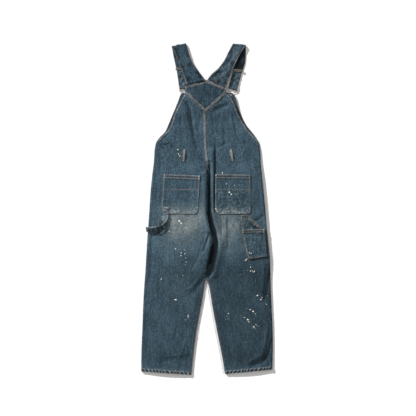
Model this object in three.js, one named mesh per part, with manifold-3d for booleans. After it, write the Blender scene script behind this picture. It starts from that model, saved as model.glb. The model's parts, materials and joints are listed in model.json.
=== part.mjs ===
// Paint spattered denim dungarees, laid out face down with the back up.
// Millimetres. +Z is up, +Y runs from the hems to the straps, and the underside lies at Z = 0.
import * as THREE from 'three';
import { mergeVertices } from 'three/addons/utils/BufferGeometryUtils.js';
import Module from 'manifold-3d';

const wasm = await Module();
wasm.setup();

// Cloth
const denim = 1.4; // one layer
const strapCloth = 2.4; // two layers sewn as one strap
const seamGap = 0.3; // between neighbouring pieces
const felledLap = 0.9; // how far a folded seam or edge stands above the cloth beside it
const hemLap = 1.5; // the same for the rolled leg hem
const armholeBand = 11; // width of the folded armhole edge
const seatBand = 10; // width of the felled seam down the middle of the back
const hemBand = 14; // height of the leg hem
const stepRun = 2; // run over which a folded edge falls back to the single cloth

// How the back lies over the front
const fullness = 5.2; // clear height between the layers, away from the edges
const rollIn = 16; // distance from a side seam over which that height is reached
const foldReach = 26; // folds fade out within this distance of a side seam

// The bib's top edge stands on its buttons, and the back clears the button tacks
const bibRise = 4;
const bibRiseFrom = 395;
const bibRiseOver = 65;
const backRise = 5.2;
const backRiseFrom = 370;

// Metal
const wireRadius = 1;
const tailRadius = denim / 2 + wireRadius + 0.25; // of the strap end's loop round the wire
const wireLevel = denim / 2 + tailRadius;
const capRadius = 8.5;
const capHeight = 1.2;
const shankRadius = 2.6;
const tackRadius = 5;
const tackHeight = 0.6;
const slider = { width: 49, height: 10, bar: 2.2, thick: 1.8 };

const smooth = (t) => {
  const c = Math.min(Math.max(t, 0), 1);
  return c * c * (3 - 2 * c);
};

// Seam down the middle of the back, from the yoke to the crotch. Its lower part lies in the deep fold.
const seatSeam = [
  { x: -6.5, y: 414.5 },
  { x: -5, y: 345 },
  { x: -2, y: 262 },
  { x: 7, y: 185 },
  { x: 9.5, y: 90 },
  { x: 10, y: -15 },
  { x: 22, y: -72 },
  { x: 37, y: -140 },
  { x: 27, y: -205 },
  { x: 13, y: -262 },
  { x: -5.6, y: -295 },
];

// Inner leg seams, from the crotch to the hem
const leftInseam = [
  { x: -13, y: -340 },
  { x: -21, y: -391 },
  { x: -45, y: -520 },
  { x: -59, y: -625 },
  { x: -68, y: -713 },
];
const rightInseam = [
  { x: 9, y: -332 },
  { x: 23, y: -413 },
  { x: 43, y: -520 },
  { x: 62, y: -615 },
  { x: 78.7, y: -709 },
];

// Corners of the yoke: the point below, two blunt corners at each side, and the top
const yokePoint = { x: -6.5, y: 414.5 };
const yokeLeft = { x: -95.5, y: 497.5 };
const yokeLeftTop = { x: -89.5, y: 534 };
const yokeRight = { x: 86.5, y: 499.5 };
const yokeRightTop = { x: 77.5, y: 520.5 };
const yokeTop = { x: -2.5, y: 555 };

// Outer edges, from the top of the armhole to the hem, each row level with a row of the inner edge
const leftEdge = [
  { x: -99.5, y: 489.5 },
  { x: -117, y: 457 },
  { x: -142, y: 404 },
  { x: -162, y: 348 },
  { x: -217, y: 286 },
  { x: -229, y: 195 },
  { x: -240.5, y: 95 },
  { x: -248, y: -12 },
  { x: -252, y: -72 },
  { x: -257, y: -138 },
  { x: -261, y: -203 },
  { x: -264, y: -258 },
  { x: -266.5, y: -293 },
  { x: -270, y: -340 },
  { x: -273, y: -391 },
  { x: -278, y: -520 },
  { x: -282, y: -620 },
  { x: -282.5, y: -697.5 },
];
const rightEdge = [
  { x: 91.5, y: 492 },
  { x: 113, y: 463 },
  { x: 137, y: 404 },
  { x: 176, y: 339 },
  { x: 220.6, y: 290 },
  { x: 231.5, y: 187 },
  { x: 241.5, y: 90 },
  { x: 251, y: -13 },
  { x: 255.5, y: -70 },
  { x: 263, y: -140 },
  { x: 269.5, y: -205 },
  { x: 271.5, y: -258 },
  { x: 272.5, y: -293 },
  { x: 273.5, y: -335 },
  { x: 277, y: -413 },
  { x: 281.5, y: -515 },
  { x: 282.5, y: -600 },
  { x: 280.5, y: -690 },
];

// Bib edges, from the waist to the top
const bibSections = [
  { y: 228.3, left: -224, right: 226 },
  { y: 282, left: -220, right: 223 },
  { y: 305, left: -206, right: 212 },
  { y: 332, left: -180, right: 192 },
  { y: 362, left: -166, right: 168 },
  { y: 392, left: -153.5, right: 152 },
  { y: 408, left: -147, right: 145.5 },
  { y: 424, left: -140, right: 139 },
  { y: 440, left: -133, right: 133.5 },
  { y: 455, left: -127, right: 129 },
  { y: 470, left: -121, right: 125 },
  { y: 488, left: -115, right: 119 },
  { y: 499, left: -108, right: 108 },
];

// Folds of the back. Each runs along its path; high is above the cloth around it, or below where negative.
const folds = [
  {
    name: 'deep fold', wide: 9, high: -13,
    path: [[9.5, 196], [10, -15], [22, -72], [37, -140], [27, -205], [8, -280]],
  },
  {
    name: 'deep fold, where it opens', wide: 13, high: -9,
    path: [[29, -112], [33, -158], [25, -208], [12, -256]],
  },
  {
    name: 'left lip', wide: 15, high: 5.5,
    path: [[-8, 150], [-8, -15], [0, -72], [12, -140], [0, -210]],
  },
  {
    name: 'right lip', wide: 13, high: 5,
    path: [[26, 250], [27, -15], [42, -72], [60, -140], [49, -215], [30, -285]],
  },
  { name: 'crease beside the seam', wide: 6, high: -3, path: [[35, 300], [36, 160], [33, 0]] },
  {
    name: 'left back trough', wide: 15, high: -3,
    path: [[-82, 444], [-69, 374], [-34, 276], [-12, 205]],
  },
  { name: 'right shoulder trough', wide: 11, high: -2.5, path: [[89, 449], [37, 422]] },
  { name: 'right waist trough', wide: 9, high: -2, path: [[88, 283], [41, 261]] },
  { name: 'left seat', wide: 75, high: 3, path: [[-120, -40], [-125, -120]] },
  { name: 'right seat', wide: 70, high: 3, path: [[130, -20], [135, -110]] },
  { name: 'left leg', wide: 62, high: 3, path: [[-150, -260], [-178, -640]] },
  { name: 'right leg', wide: 60, high: 3, path: [[150, -260], [182, -640]] },
  { name: 'left crotch crease', wide: 12, high: -3.5, path: [[-12, -284], [-57, -359]] },
  { name: 'seat crease', wide: 7, high: -3.5, path: [[10, -104], [-14, -180]] },
  { name: 'right seat trough', wide: 11, high: -3, path: [[91, -60], [91, -172]] },
  { name: 'crease over the tool pocket', wide: 9, high: -3, path: [[241, -24], [211, -49]] },
  { name: 'crease below the hammer loop', wide: 10, high: -3, path: [[-236, -125], [-243, -290]] },
  {
    name: 'right thigh trough', wide: 11, high: -4.5,
    path: [[258, -241], [257, -292], [248, -357], [246, -400]],
  },
  {
    name: 'right shin trough', wide: 12, high: -4,
    path: [[266, -494], [255, -591], [230, -653], [190, -671]],
  },
  { name: 'left shin trough', wide: 12, high: -3, path: [[-185, -651], [-76, -638]] },
];

const curveThrough = (table) =>
  new THREE.CatmullRomCurve3(table.map((row) => new THREE.Vector3(row.x, row.y, 0)), false, 'centripetal');

const segmentDistance = (x, y, a, b) => {
  const runX = b[0] - a[0];
  const runY = b[1] - a[1];
  const along = ((x - a[0]) * runX + (y - a[1]) * runY) / (runX * runX + runY * runY);
  const t = Math.min(Math.max(along, 0), 1);
  return Math.hypot(x - a[0] - t * runX, y - a[1] - t * runY);
};

const pathDistance = (x, y, path) => {
  let nearest = Infinity;
  for (let i = 1; i < path.length; i++) {
    nearest = Math.min(nearest, segmentDistance(x, y, path[i - 1], path[i]));
  }
  return nearest;
};

// Closed edges, where the back comes down on the front: armholes, side seams and inner legs
const crotch = seatSeam[seatSeam.length - 1];
const corners = (table) => table.map((row) => [row.x, row.y]);
const leftRim = [yokeTop, yokeLeftTop, yokeLeft, ...leftEdge];
const rightRim = [yokeTop, yokeRightTop, yokeRight, ...rightEdge];
const rims = [leftRim, rightRim, [crotch, ...leftInseam], [crotch, ...rightInseam]].map(corners);
const rimDistance = (x, y) => Math.min(...rims.map((rim) => pathDistance(x, y, rim)));

const bibLift = (y) => bibRise * smooth((y - bibRiseFrom) / bibRiseOver);
const backLift = (y) => backRise * smooth((y - backRiseFrom) / bibRiseOver);

const foldHeight = (x, y) => {
  let height = 0;
  for (const fold of folds) {
    const away = pathDistance(x, y, fold.path) / fold.wide;
    height += fold.high * Math.exp(-away * away);
  }
  return height;
};

// Height of the underside of the back above the surface that the garment lies on
const lie = (x, y) => {
  const away = rimDistance(x, y);
  const lowest = denim + seamGap + backLift(y);
  const risen = fullness * (1 - Math.exp(-away / rollIn)) + foldHeight(x, y) * smooth(away / foldReach);
  return lowest + Math.max(risen, 0);
};

// Closed wall between two grids of points, the upper one seen from its outside with rows up and columns right
function wallGeometry(upper, lower) {
  const rows = upper.length;
  const columns = upper[0].length;
  const positions = [...upper.flat(), ...lower.flat()].flatMap((p) => [p.x, p.y, p.z]);
  const up = (i, j) => i * columns + j;
  const low = (i, j) => rows * columns + i * columns + j;
  const faces = [];
  const quad = (a, b, c, d) => faces.push(a, b, c, a, c, d);
  for (let i = 0; i < rows - 1; i++) {
    for (let j = 0; j < columns - 1; j++) {
      quad(up(i, j), up(i, j + 1), up(i + 1, j + 1), up(i + 1, j));
      quad(low(i, j), low(i + 1, j), low(i + 1, j + 1), low(i, j + 1));
    }
    quad(low(i + 1, 0), low(i, 0), up(i, 0), up(i + 1, 0));
    quad(low(i, columns - 1), low(i + 1, columns - 1), up(i + 1, columns - 1), up(i, columns - 1));
  }
  for (let j = 0; j < columns - 1; j++) {
    quad(low(0, j), low(0, j + 1), up(0, j + 1), up(0, j));
    quad(low(rows - 1, j + 1), low(rows - 1, j), up(rows - 1, j), up(rows - 1, j + 1));
  }
  const geometry = new THREE.BufferGeometry();
  geometry.setAttribute('position', new THREE.Float32BufferAttribute(positions, 3));
  geometry.setIndex(faces);
  return geometry;
}

const raised = (grid, height) => grid.map((row) => row.map((p) => new THREE.Vector3(p.x, p.y, p.z + height)));

function toSolid(geometry) {
  const bare = geometry.clone();
  bare.deleteAttribute('normal');
  bare.deleteAttribute('uv');
  const merged = mergeVertices(bare);
  return new wasm.Manifold(
    new wasm.Mesh({
      numProp: 3,
      vertProperties: new Float32Array(merged.attributes.position.array),
      triVerts: new Uint32Array(merged.index.array),
    }),
  );
}

function toGeometry(solid) {
  const mesh = solid.getMesh();
  const geometry = new THREE.BufferGeometry();
  geometry.setAttribute('position', new THREE.BufferAttribute(mesh.vertProperties, 3));
  geometry.setIndex(new THREE.BufferAttribute(mesh.triVerts, 1));
  return geometry;
}

const group = new THREE.Group();

function addPiece(name, geometry, finish) {
  const mesh = new THREE.Mesh(geometry, new THREE.MeshStandardMaterial(finish));
  mesh.name = name;
  group.add(mesh);
}

const washedDenim = { color: 0x43596a, roughness: 0.92, metalness: 0 };
const darkDenim = { color: 0x39505f, roughness: 0.92, metalness: 0 };
const pocketDenim = { color: 0x4a6173, roughness: 0.92, metalness: 0 };
const agedBrass = { color: 0xb9b3a3, roughness: 0.4, metalness: 1 };

// Rows of a back panel are counted from the yoke: its lower edge, then the seat seam, then the inner leg
const yokeRows = 2;
const crotchRow = yokeRows + seatSeam.length - 1;
const seatCurve = curveThrough(seatSeam);

function innerEdge(section, t, side) {
  if (section < yokeRows) {
    const along = 0.95 * (1 - (section + t) / yokeRows);
    const corner = new THREE.Vector3(side.yokeCorner.x, side.yokeCorner.y, 0);
    return new THREE.Vector3(yokePoint.x, yokePoint.y, 0).lerp(corner, along);
  }
  if (section < crotchRow) {
    return seatCurve.getPoint((section - yokeRows + t) / (crotchRow - yokeRows));
  }
  return side.inseamCurve.getPoint((section - crotchRow + t) / side.inseam.length);
}

const sides = [
  { name: 'left', edge: leftEdge, inseam: leftInseam, yokeCorner: yokeLeft, outward: -1, felled: true },
  { name: 'right', edge: rightEdge, inseam: rightInseam, yokeCorner: yokeRight, outward: 1, felled: false },
];
for (const side of sides) {
  side.edgeCurve = curveThrough(side.edge);
  side.inseamCurve = curveThrough([crotch, ...side.inseam]);
}

function rowAt(side, section, t) {
  const outer = side.edgeCurve.getPoint((section + t) / (side.edge.length - 1));
  const inner = innerEdge(section, t, side);
  inner.x += side.outward * seamGap * 0.75; // half of a gap that a slanting seam still keeps
  return { outer, inner };
}

// Places across a row: close at the folded edges, wide in the middle
const edgeSteps = [0, armholeBand, armholeBand + stepRun, 28, 48];
const seamSteps = [0, 5, seatBand, seatBand + stepRun, 22, 36];
const middleParts = 5;
const fullWidth = 150; // rows narrower than this draw their columns together

function placesAcross(width) {
  const squeeze = Math.min(1, width / fullWidth);
  const fromOuter = edgeSteps.map((d) => (d * squeeze) / width);
  const fromInner = seamSteps.map((d) => 1 - (d * squeeze) / width).reverse();
  const start = fromOuter[fromOuter.length - 1];
  const middle = [];
  for (let k = 1; k < middleParts; k++) {
    middle.push(start + ((fromInner[0] - start) * k) / middleParts);
  }
  return [...fromOuter, ...middle, ...fromInner];
}

// Bands where a folded edge or a felled seam stands higher than the single cloth
const armholeEnds = 4; // row at the foot of the armhole
const felledEnds = 5; // row where the seat seam sinks into the deep fold
const hemHeights = [hemBand + stepRun, hemBand, 0];

function backRows(side) {
  const rows = [];
  const last = side.edge.length - 1;
  for (let section = 0; section < last; section++) {
    for (let half = 0; half < 2; half++) {
      rows.push({ ...rowAt(side, section, half / 2), section });
    }
  }
  const hem = rowAt(side, last, 0);
  const above = rows[rows.length - 1];
  const stepUp = (from, to, height) => from.clone().add(to.clone().sub(from).setLength(height));
  for (const height of hemHeights) {
    const outer = stepUp(hem.outer, above.outer, height);
    const inner = stepUp(hem.inner, above.inner, height);
    rows.push({ outer, inner, section: last, hem: height <= hemBand });
  }
  return rows.reverse();
}

function backSurface(side) {
  return backRows(side).map((row) => {
    const places = placesAcross(row.outer.distanceTo(row.inner));
    const points = places.map((place, k) => {
      const p = row.outer.clone().lerp(row.inner, place);
      const bound = row.section < armholeEnds && edgeSteps[k] <= armholeBand;
      const fromSeam = seamSteps[places.length - 1 - k];
      const onSeat = row.section >= yokeRows && row.section < felledEnds;
      const felled = side.felled && onSeat && fromSeam <= seatBand;
      const lap = bound || felled ? felledLap : 0;
      const under = lie(p.x, p.y);
      return { x: p.x, y: p.y, under, over: under + denim + (row.hem ? hemLap : lap) };
    });
    return side.outward > 0 ? points.reverse() : points;
  });
}

const upperFace = (grid) => grid.map((row) => row.map((p) => new THREE.Vector3(p.x, p.y, p.over)));
const lowerFace = (grid) => grid.map((row) => row.map((p) => new THREE.Vector3(p.x, p.y, p.under)));
const panelWall = (grid) => wallGeometry(upperFace(grid), lowerFace(grid));

// The face of a panel at a point, on its own facets; null where the panel isn't
function faceHeight(face, x, y) {
  const hit = (a, b, c) => {
    const area = (b.x - a.x) * (c.y - a.y) - (c.x - a.x) * (b.y - a.y);
    const v = ((x - a.x) * (c.y - a.y) - (c.x - a.x) * (y - a.y)) / area;
    const w = ((b.x - a.x) * (y - a.y) - (x - a.x) * (b.y - a.y)) / area;
    return v >= 0 && w >= 0 && v + w <= 1 ? a.z + v * (b.z - a.z) + w * (c.z - a.z) : null;
  };
  for (let i = 0; i < face.length - 1; i++) {
    for (let j = 0; j < face[0].length - 1; j++) {
      const [a, b, c, d] = [face[i][j], face[i][j + 1], face[i + 1][j + 1], face[i + 1][j]];
      const height = hit(a, b, c) ?? hit(a, c, d);
      if (height !== null) return height;
    }
  }
  return null;
}

// Highest point of some faces within reach of a point
function clearHeight(faces, x, y, reach) {
  let highest = 0;
  for (const dx of [-reach, 0, reach]) {
    for (const dy of [-reach, 0, reach]) {
      for (const face of faces) {
        highest = Math.max(highest, faceHeight(face, x + dx, y + dy) ?? 0);
      }
    }
  }
  return highest;
}

// Outline with rounded corners: each row is a corner and its radius
function outlineOf(table) {
  const shape = new THREE.Shape();
  table.forEach((row, k) => {
    const corner = new THREE.Vector2(row.x, row.y);
    const next = table[(k + 1) % table.length];
    const before = table[(k + table.length - 1) % table.length];
    const stepTo = (other) =>
      corner.clone().add(new THREE.Vector2(other.x, other.y).sub(corner).setLength(row.round));
    const arrive = row.round ? stepTo(before) : corner;
    const leave = row.round ? stepTo(next) : corner;
    if (k === 0) shape.moveTo(arrive.x, arrive.y);
    else shape.lineTo(arrive.x, arrive.y);
    if (row.round) shape.quadraticCurveTo(corner.x, corner.y, leave.x, leave.y);
  });
  return shape;
}

// Prism that stands through the whole garment
const prismDepth = 90;
function prismOf(shape) {
  const cut = { depth: prismDepth, bevelEnabled: false, curveSegments: 4 };
  const prism = new THREE.ExtrudeGeometry(shape, cut);
  prism.translate(0, 0, -prismDepth / 3);
  return toSolid(prism);
}

// Cloth that lies on a face: the face moved out, between two heights, within an outline
function layerOn(face, from, to, outline) {
  const slab = toSolid(wallGeometry(raised(face, to), raised(face, from)));
  return slab.intersect(prismOf(outlineOf(outline)));
}

// Underneath: flat panels with the same outline
const frontColumns = [0, 0.35, 0.7, 1];
const waist = bibSections[0].y - seamGap;
const centreFront = -3;

function frontWall(side) {
  const last = side.edge.length - 1;
  const rows = [];
  for (let section = last; section > armholeEnds; section--) {
    const { outer, inner } = rowAt(side, section, 0);
    if (section < crotchRow) inner.set(centreFront + (side.outward * seamGap) / 2, outer.y, 0);
    rows.push({ outer, inner });
  }
  const outerX = side.outward < 0 ? bibSections[0].left : bibSections[0].right;
  const inner = new THREE.Vector3(centreFront + (side.outward * seamGap) / 2, waist, 0);
  rows.push({ outer: new THREE.Vector3(outerX, waist, 0), inner });
  const lower = rows.map((row) => {
    const points = frontColumns.map((place) => row.outer.clone().lerp(row.inner, place));
    return side.outward > 0 ? points.reverse() : points;
  });
  return wallGeometry(raised(lower, denim), lower);
}

const bibColumns = 6;
function bibWall() {
  const lower = bibSections.map((row) => {
    const points = [];
    for (let k = 0; k <= bibColumns; k++) {
      const x = row.left + ((row.right - row.left) * k) / bibColumns;
      points.push(new THREE.Vector3(x, row.y, bibLift(row.y)));
    }
    return points;
  });
  return wallGeometry(raised(lower, denim), lower);
}

// Yoke, with a folded band along each edge
const bluntLeft = 0.28; // share of an upper side that lies between its two blunt corners
const bluntRight = 0.2;
const yokeSteps = [0, 0.1, 0.12, bluntRight, bluntLeft, 0.5, 0.7, 0.88, 0.9, 1];
function yokeSurface() {
  const corner = (p) => new THREE.Vector3(p.x, p.y, 0);
  const centre = corner(yokePoint).add(corner(yokeTop)).multiplyScalar(0.5);
  const inset = (p) => corner(p).sub(centre).multiplyScalar(1 - seamGap / 50).add(centre);
  const table = [yokePoint, yokeLeft, yokeLeftTop, yokeRight, yokeRightTop, yokeTop];
  const [bottom, left, leftTop, right, rightTop, top] = table.map(inset);
  const bulge = (from, blunt, share, t) => {
    const below = t < share;
    const [start, end] = below ? [from, blunt] : [blunt, top];
    const along = below ? t / share : (t - share) / (1 - share);
    return start.clone().lerp(end, along).sub(from.clone().lerp(top, t));
  };
  return yokeSteps.map((i) =>
    yokeSteps.map((j) => {
      const p = bottom.clone().lerp(right, j).lerp(left.clone().lerp(top, j), i);
      p.addScaledVector(bulge(left, leftTop, bluntLeft, j), i);
      p.addScaledVector(bulge(right, rightTop, bluntRight, i), j);
      const banded = Math.min(i, j) <= 0.1 || Math.max(i, j) >= 0.9;
      const under = lie(p.x, p.y);
      return { x: p.x, y: p.y, under, over: under + denim + (banded ? felledLap : 0) };
    }),
  );
}

const backFaces = {};
for (const side of sides) {
  const surface = backSurface(side);
  backFaces[side.name] = upperFace(surface);
  addPiece(`front_${side.name}`, frontWall(side), darkDenim);
  addPiece(`back_${side.name}`, panelWall(surface), washedDenim);
}
const yoke = yokeSurface();
const yokeFace = upperFace(yoke);
addPiece('yoke', panelWall(yoke), darkDenim);

// Shoulder straps. Rows run from the yoke to the fold over the shoulder, then back underneath to the slider.
const foldRadius = 2.9; // of the middle of the cloth
const lowMiddle = strapCloth / 2;
const highMiddle = lowMiddle + 2 * foldRadius;
const foldSteps = 6;
const straps = [
  {
    name: 'left',
    upper: [
      { leftX: -88.5, leftY: 529, rightX: -7.5, rightY: 549.5 },
      { leftX: -96, leftY: 559, rightX: -26, rightY: 578 },
      { leftX: -106, leftY: 588, rightX: -50, rightY: 610 },
      { leftX: -124, leftY: 632, rightX: -70.5, rightY: 646 },
      { leftX: -138, leftY: 669, rightX: -81.5, rightY: 682 },
      { leftX: -151, leftY: 696, rightX: -90, rightY: 709 },
    ],
    under: [
      { leftX: -151, leftY: 696, rightX: -90, rightY: 709 },
      { leftX: -143, leftY: 652, rightX: -88, rightY: 664 },
      { leftX: -131.5, leftY: 601, rightX: -90, rightY: 607 },
    ],
    tail: [
      { leftX: -131.4, leftY: 600.5, rightX: -90, rightY: 606.5 },
      { leftX: -118, leftY: 513, rightX: -78, rightY: 519 },
    ],
    laps: true,
  },
  {
    name: 'right',
    upper: [
      { leftX: 1.5, leftY: 553.6, rightX: 79.8, rightY: 519.9 },
      { leftX: 19.5, leftY: 577.5, rightX: 95, rightY: 557 },
      { leftX: 51.5, leftY: 607, rightX: 106, rightY: 587 },
      { leftX: 77.5, leftY: 644, rightX: 124.5, rightY: 630 },
      { leftX: 96, leftY: 681, rightX: 147, rightY: 674 },
      { leftX: 110.5, leftY: 708, rightX: 167, rightY: 701 },
    ],
    under: [
      { leftX: 110.5, leftY: 708, rightX: 167, rightY: 701 },
      { leftX: 113, leftY: 655, rightX: 164, rightY: 632 },
      { leftX: 112.5, leftY: 597, rightX: 152.5, rightY: 594 },
    ],
    tail: [
      { leftX: 112.4, leftY: 596.5, rightX: 152.3, rightY: 593.5 },
      { leftX: 91, leftY: 519, rightX: 128, rightY: 509 },
    ],
    laps: false,
  },
];

const strapColumns = 4;
const acrossRow = (row, place) => {
  const x = row.leftX + (row.rightX - row.leftX) * place;
  const y = row.leftY + (row.rightY - row.leftY) * place;
  return new THREE.Vector3(x, y, 0);
};
const outwardOf = (row) => {
  const across = acrossRow(row, 1).sub(acrossRow(row, 0)).normalize();
  return new THREE.Vector3(-across.y, across.x, 0);
};
const upVector = new THREE.Vector3(0, 0, 1);

// A strip from stations, each a row of points with the cloth's inner side towards facing
function stripWall(stations, thickness) {
  const shifted = (distance) =>
    stations.map((station) => station.points.map((p) => p.clone().addScaledVector(station.facing, distance)));
  return wallGeometry(shifted(thickness / 2), shifted(-thickness / 2));
}

// Half turn from the lower layer to the upper one, round an axis along a row
function turnStations(row, radius, lowLevel, away) {
  const stations = [];
  for (let k = 0; k <= foldSteps; k++) {
    const angle = (Math.PI * k) / foldSteps;
    const swing = away.clone().multiplyScalar(Math.sin(angle)).addScaledVector(upVector, -Math.cos(angle));
    const points = [];
    for (let c = 0; c <= strapColumns; c++) {
      const centre = acrossRow(row, c / strapColumns).setZ(lowLevel + radius);
      points.push(centre.addScaledVector(swing, radius));
    }
    stations.push({ points, facing: swing.clone().negate() });
  }
  return stations;
}

const rowPoints = (row, level) => {
  const points = [];
  for (let c = 0; c <= strapColumns; c++) points.push(acrossRow(row, c / strapColumns).setZ(level));
  return points;
};

const between = (a, b, t) =>
  Object.fromEntries(Object.keys(a).map((key) => [key, a[key] + (b[key] - a[key]) * t]));

function strapWall(strap) {
  const below = strap.under.slice(1).reverse();
  const stations = below.map((row) => ({ points: rowPoints(row, lowMiddle), facing: upVector }));
  stations.push(...turnStations(strap.under[0], foldRadius, lowMiddle, outwardOf(strap.under[0])));
  const facing = upVector.clone().negate();
  const faces = [yokeFace];
  for (let k = strap.upper.length - 2; k >= 0; k--) {
    for (const half of [0.5, 0]) {
      const row = between(strap.upper[k], strap.upper[k + 1], half);
      const points = rowPoints(row, highMiddle);
      const onYoke = strap.laps && k === 0;
      const climb = smooth(1 - (k + half) / 3);
      const endLevel = strap.laps ? 10.4 : lie(row.leftX, row.leftY) + lowMiddle;
      for (const p of points) {
        const clear = onYoke ? clearHeight(faces, p.x, p.y, 5) + seamGap + lowMiddle : 0;
        p.z = Math.max(highMiddle + (endLevel - highMiddle) * climb, clear);
      }
      stations.push({ points, facing });
    }
  }
  return stripWall(stations, strapCloth);
}

// Strap end: a loop of single cloth round the buckle's bar
function tailWall(strap) {
  const [top, foot] = strap.tail;
  const lowLevel = denim / 2;
  const closedLevel = lowLevel + denim + seamGap;
  const openLevel = lowLevel + 2 * tailRadius;
  const parts = 4;
  const loopRow = between(foot, top, tailRadius / 90);
  const away = outwardOf(loopRow).negate();
  const stations = [];
  for (let k = 0; k < parts; k++) {
    stations.push({ points: rowPoints(between(top, loopRow, k / parts), lowLevel), facing: upVector });
  }
  stations.push(...turnStations(loopRow, tailRadius, lowLevel, away));
  for (let k = 1; k <= parts; k++) {
    const level = openLevel + (closedLevel - openLevel) * smooth(k / 2);
    const row = between(loopRow, top, (0.96 * k) / parts);
    stations.push({ points: rowPoints(row, level), facing: upVector.clone().negate() });
  }
  for (const station of stations) station.points.reverse();
  return stripWall(stations, denim);
}

// Slider frame with a middle bar, lying on the end of the strap
function sliderFrame() {
  const rectangle = (width, height, middle) => {
    const path = new THREE.Path();
    path.moveTo(-width / 2, middle - height / 2);
    path.lineTo(width / 2, middle - height / 2);
    path.lineTo(width / 2, middle + height / 2);
    path.lineTo(-width / 2, middle + height / 2);
    path.closePath();
    return path;
  };
  const { width, height, bar, thick } = slider;
  const shape = new THREE.Shape(rectangle(width, height, 0).getPoints());
  const window = (height - 3 * bar) / 2;
  for (const end of [-1, 1]) {
    shape.holes.push(rectangle(width - 2 * bar, window, (end * (window + bar)) / 2));
  }
  return new THREE.ExtrudeGeometry(shape, { depth: thick, bevelEnabled: false });
}

// Buckle wire in its own plane: a bar for the strap, drawn in to a loop for the button
const buckleWire = [
  { across: -22, down: 0 },
  { across: 0, down: 0 },
  { across: 22, down: 0 },
  { across: 23, down: 5 },
  { across: 6, down: 17 },
  { across: 6.5, down: 28 },
  { across: 0, down: 34 },
  { across: -6.5, down: 28 },
  { across: -6, down: 17 },
  { across: -23, down: 5 },
];
const buttonDown = 28;

const tackPoint = bibRise + denim + seamGap;
const buttonProfile = [
  [0, 0],
  [capRadius - 0.6, 0],
  [capRadius, 0.4],
  [capRadius, capHeight],
  [shankRadius, capHeight],
  [shankRadius, tackPoint],
  [tackRadius, tackPoint],
  [tackRadius - 0.8, tackPoint + tackHeight],
  [0, tackPoint + tackHeight],
].map(([radius, height]) => new THREE.Vector2(radius, height));

function placed(geometry, x, y, z, turn) {
  const holder = new THREE.Object3D();
  holder.position.set(x, y, z);
  holder.rotation.z = turn;
  holder.updateMatrixWorld();
  return geometry.applyMatrix4(holder.matrixWorld);
}

let bib = toSolid(bibWall());
for (const strap of straps) {
  addPiece(`strap_${strap.name}`, strapWall(strap), darkDenim);
  addPiece(`strap_end_${strap.name}`, tailWall(strap), washedDenim);

  const [top, foot] = strap.tail;
  const across = acrossRow(foot, 1).sub(acrossRow(foot, 0)).normalize();
  const turn = Math.atan2(across.y, across.x);
  const topAcross = acrossRow(top, 1).sub(acrossRow(top, 0));
  const middle = acrossRow(top, 0.5);
  const sliderLevel = strapCloth + denim;
  const frame = sliderFrame();
  addPiece(
    `slider_${strap.name}`,
    placed(frame, middle.x, middle.y, sliderLevel, Math.atan2(topAcross.y, topAcross.x)),
    agedBrass,
  );

  const bar = acrossRow(between(foot, top, tailRadius / 90), 0.5);
  const path = buckleWire.map((row) => new THREE.Vector3(row.across, -row.down, 0));
  const wire = new THREE.CatmullRomCurve3(path, true, 'centripetal');
  const tube = new THREE.TubeGeometry(wire, 40, wireRadius, 6, true);
  addPiece(`buckle_${strap.name}`, placed(tube, bar.x, bar.y, wireLevel, turn), agedBrass);

  const button = new THREE.LatheGeometry(buttonProfile, 20);
  button.rotateX(Math.PI / 2);
  const centre = new THREE.Vector3(0, -buttonDown, 0).applyAxisAngle(upVector, turn).add(bar);
  addPiece(`button_${strap.name}`, placed(button, centre.x, centre.y, 0, 0), agedBrass);
  const hole = new THREE.CylinderGeometry(shankRadius + seamGap, shankRadius + seamGap, prismDepth, 16);
  bib = bib.subtract(toSolid(placed(hole.rotateX(Math.PI / 2), centre.x, centre.y, 0, 0)));
}
addPiece('bib_front', toGeometry(bib), darkDenim);

// Back pockets: a patch with a deeper hem along its top
const pocketHem = 16;
const pocketHemLap = 1;
const pockets = [
  {
    side: 'left',
    outline: [
      { x: -186, y: 149, round: 0 },
      { x: -30, y: 143, round: 0 },
      { x: -39, y: -22, round: 24 },
      { x: -168, y: -19, round: 10 },
      { x: -193, y: -12, round: 12 },
    ],
  },
  {
    side: 'right',
    outline: [
      { x: 34.5, y: 149, round: 0 },
      { x: 187, y: 147, round: 0 },
      { x: 187, y: -20, round: 14 },
      { x: 36, y: -22, round: 26 },
    ],
  },
];
for (const pocket of pockets) {
  const face = backFaces[pocket.side];
  const patch = layerOn(face, seamGap, seamGap + denim, pocket.outline);
  const [a, b] = pocket.outline;
  const strip = [a, b, { x: b.x, y: b.y - pocketHem, round: 0 }, { x: a.x, y: a.y - pocketHem, round: 0 }];
  const within = prismOf(outlineOf(pocket.outline));
  const hem = layerOn(face, seamGap, seamGap + denim + pocketHemLap, strip).intersect(within);
  addPiece(`pocket_${pocket.side}`, toGeometry(patch.add(hem)), pocketDenim);
}

// Tool pocket on the right leg: a patch cut away along a slanting edge, with a smaller one in front
const toolPatch = [
  { x: 144, y: -26, round: 0 },
  { x: 170, y: -24, round: 0 },
  { x: 250, y: -95, round: 0 },
  { x: 260, y: -204, round: 0 },
  { x: 178, y: -217, round: 6 },
  { x: 170, y: -190, round: 0 },
  { x: 152, y: -105, round: 0 },
];
const frontPatch = [
  { x: 150, y: -88, round: 0 },
  { x: 248, y: -86, round: 0 },
  { x: 257, y: -203, round: 0 },
  { x: 180.5, y: -214, round: 5 },
  { x: 172, y: -186, round: 0 },
];
const rightFace = backFaces.right;
addPiece(
  'tool_pocket_large',
  toGeometry(layerOn(rightFace, seamGap, seamGap + denim, toolPatch)),
  pocketDenim,
);
const frontFrom = 2 * seamGap + denim;
addPiece(
  'tool_pocket_small',
  toGeometry(layerOn(rightFace, frontFrom, frontFrom + denim, frontPatch)),
  pocketDenim,
);

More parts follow.
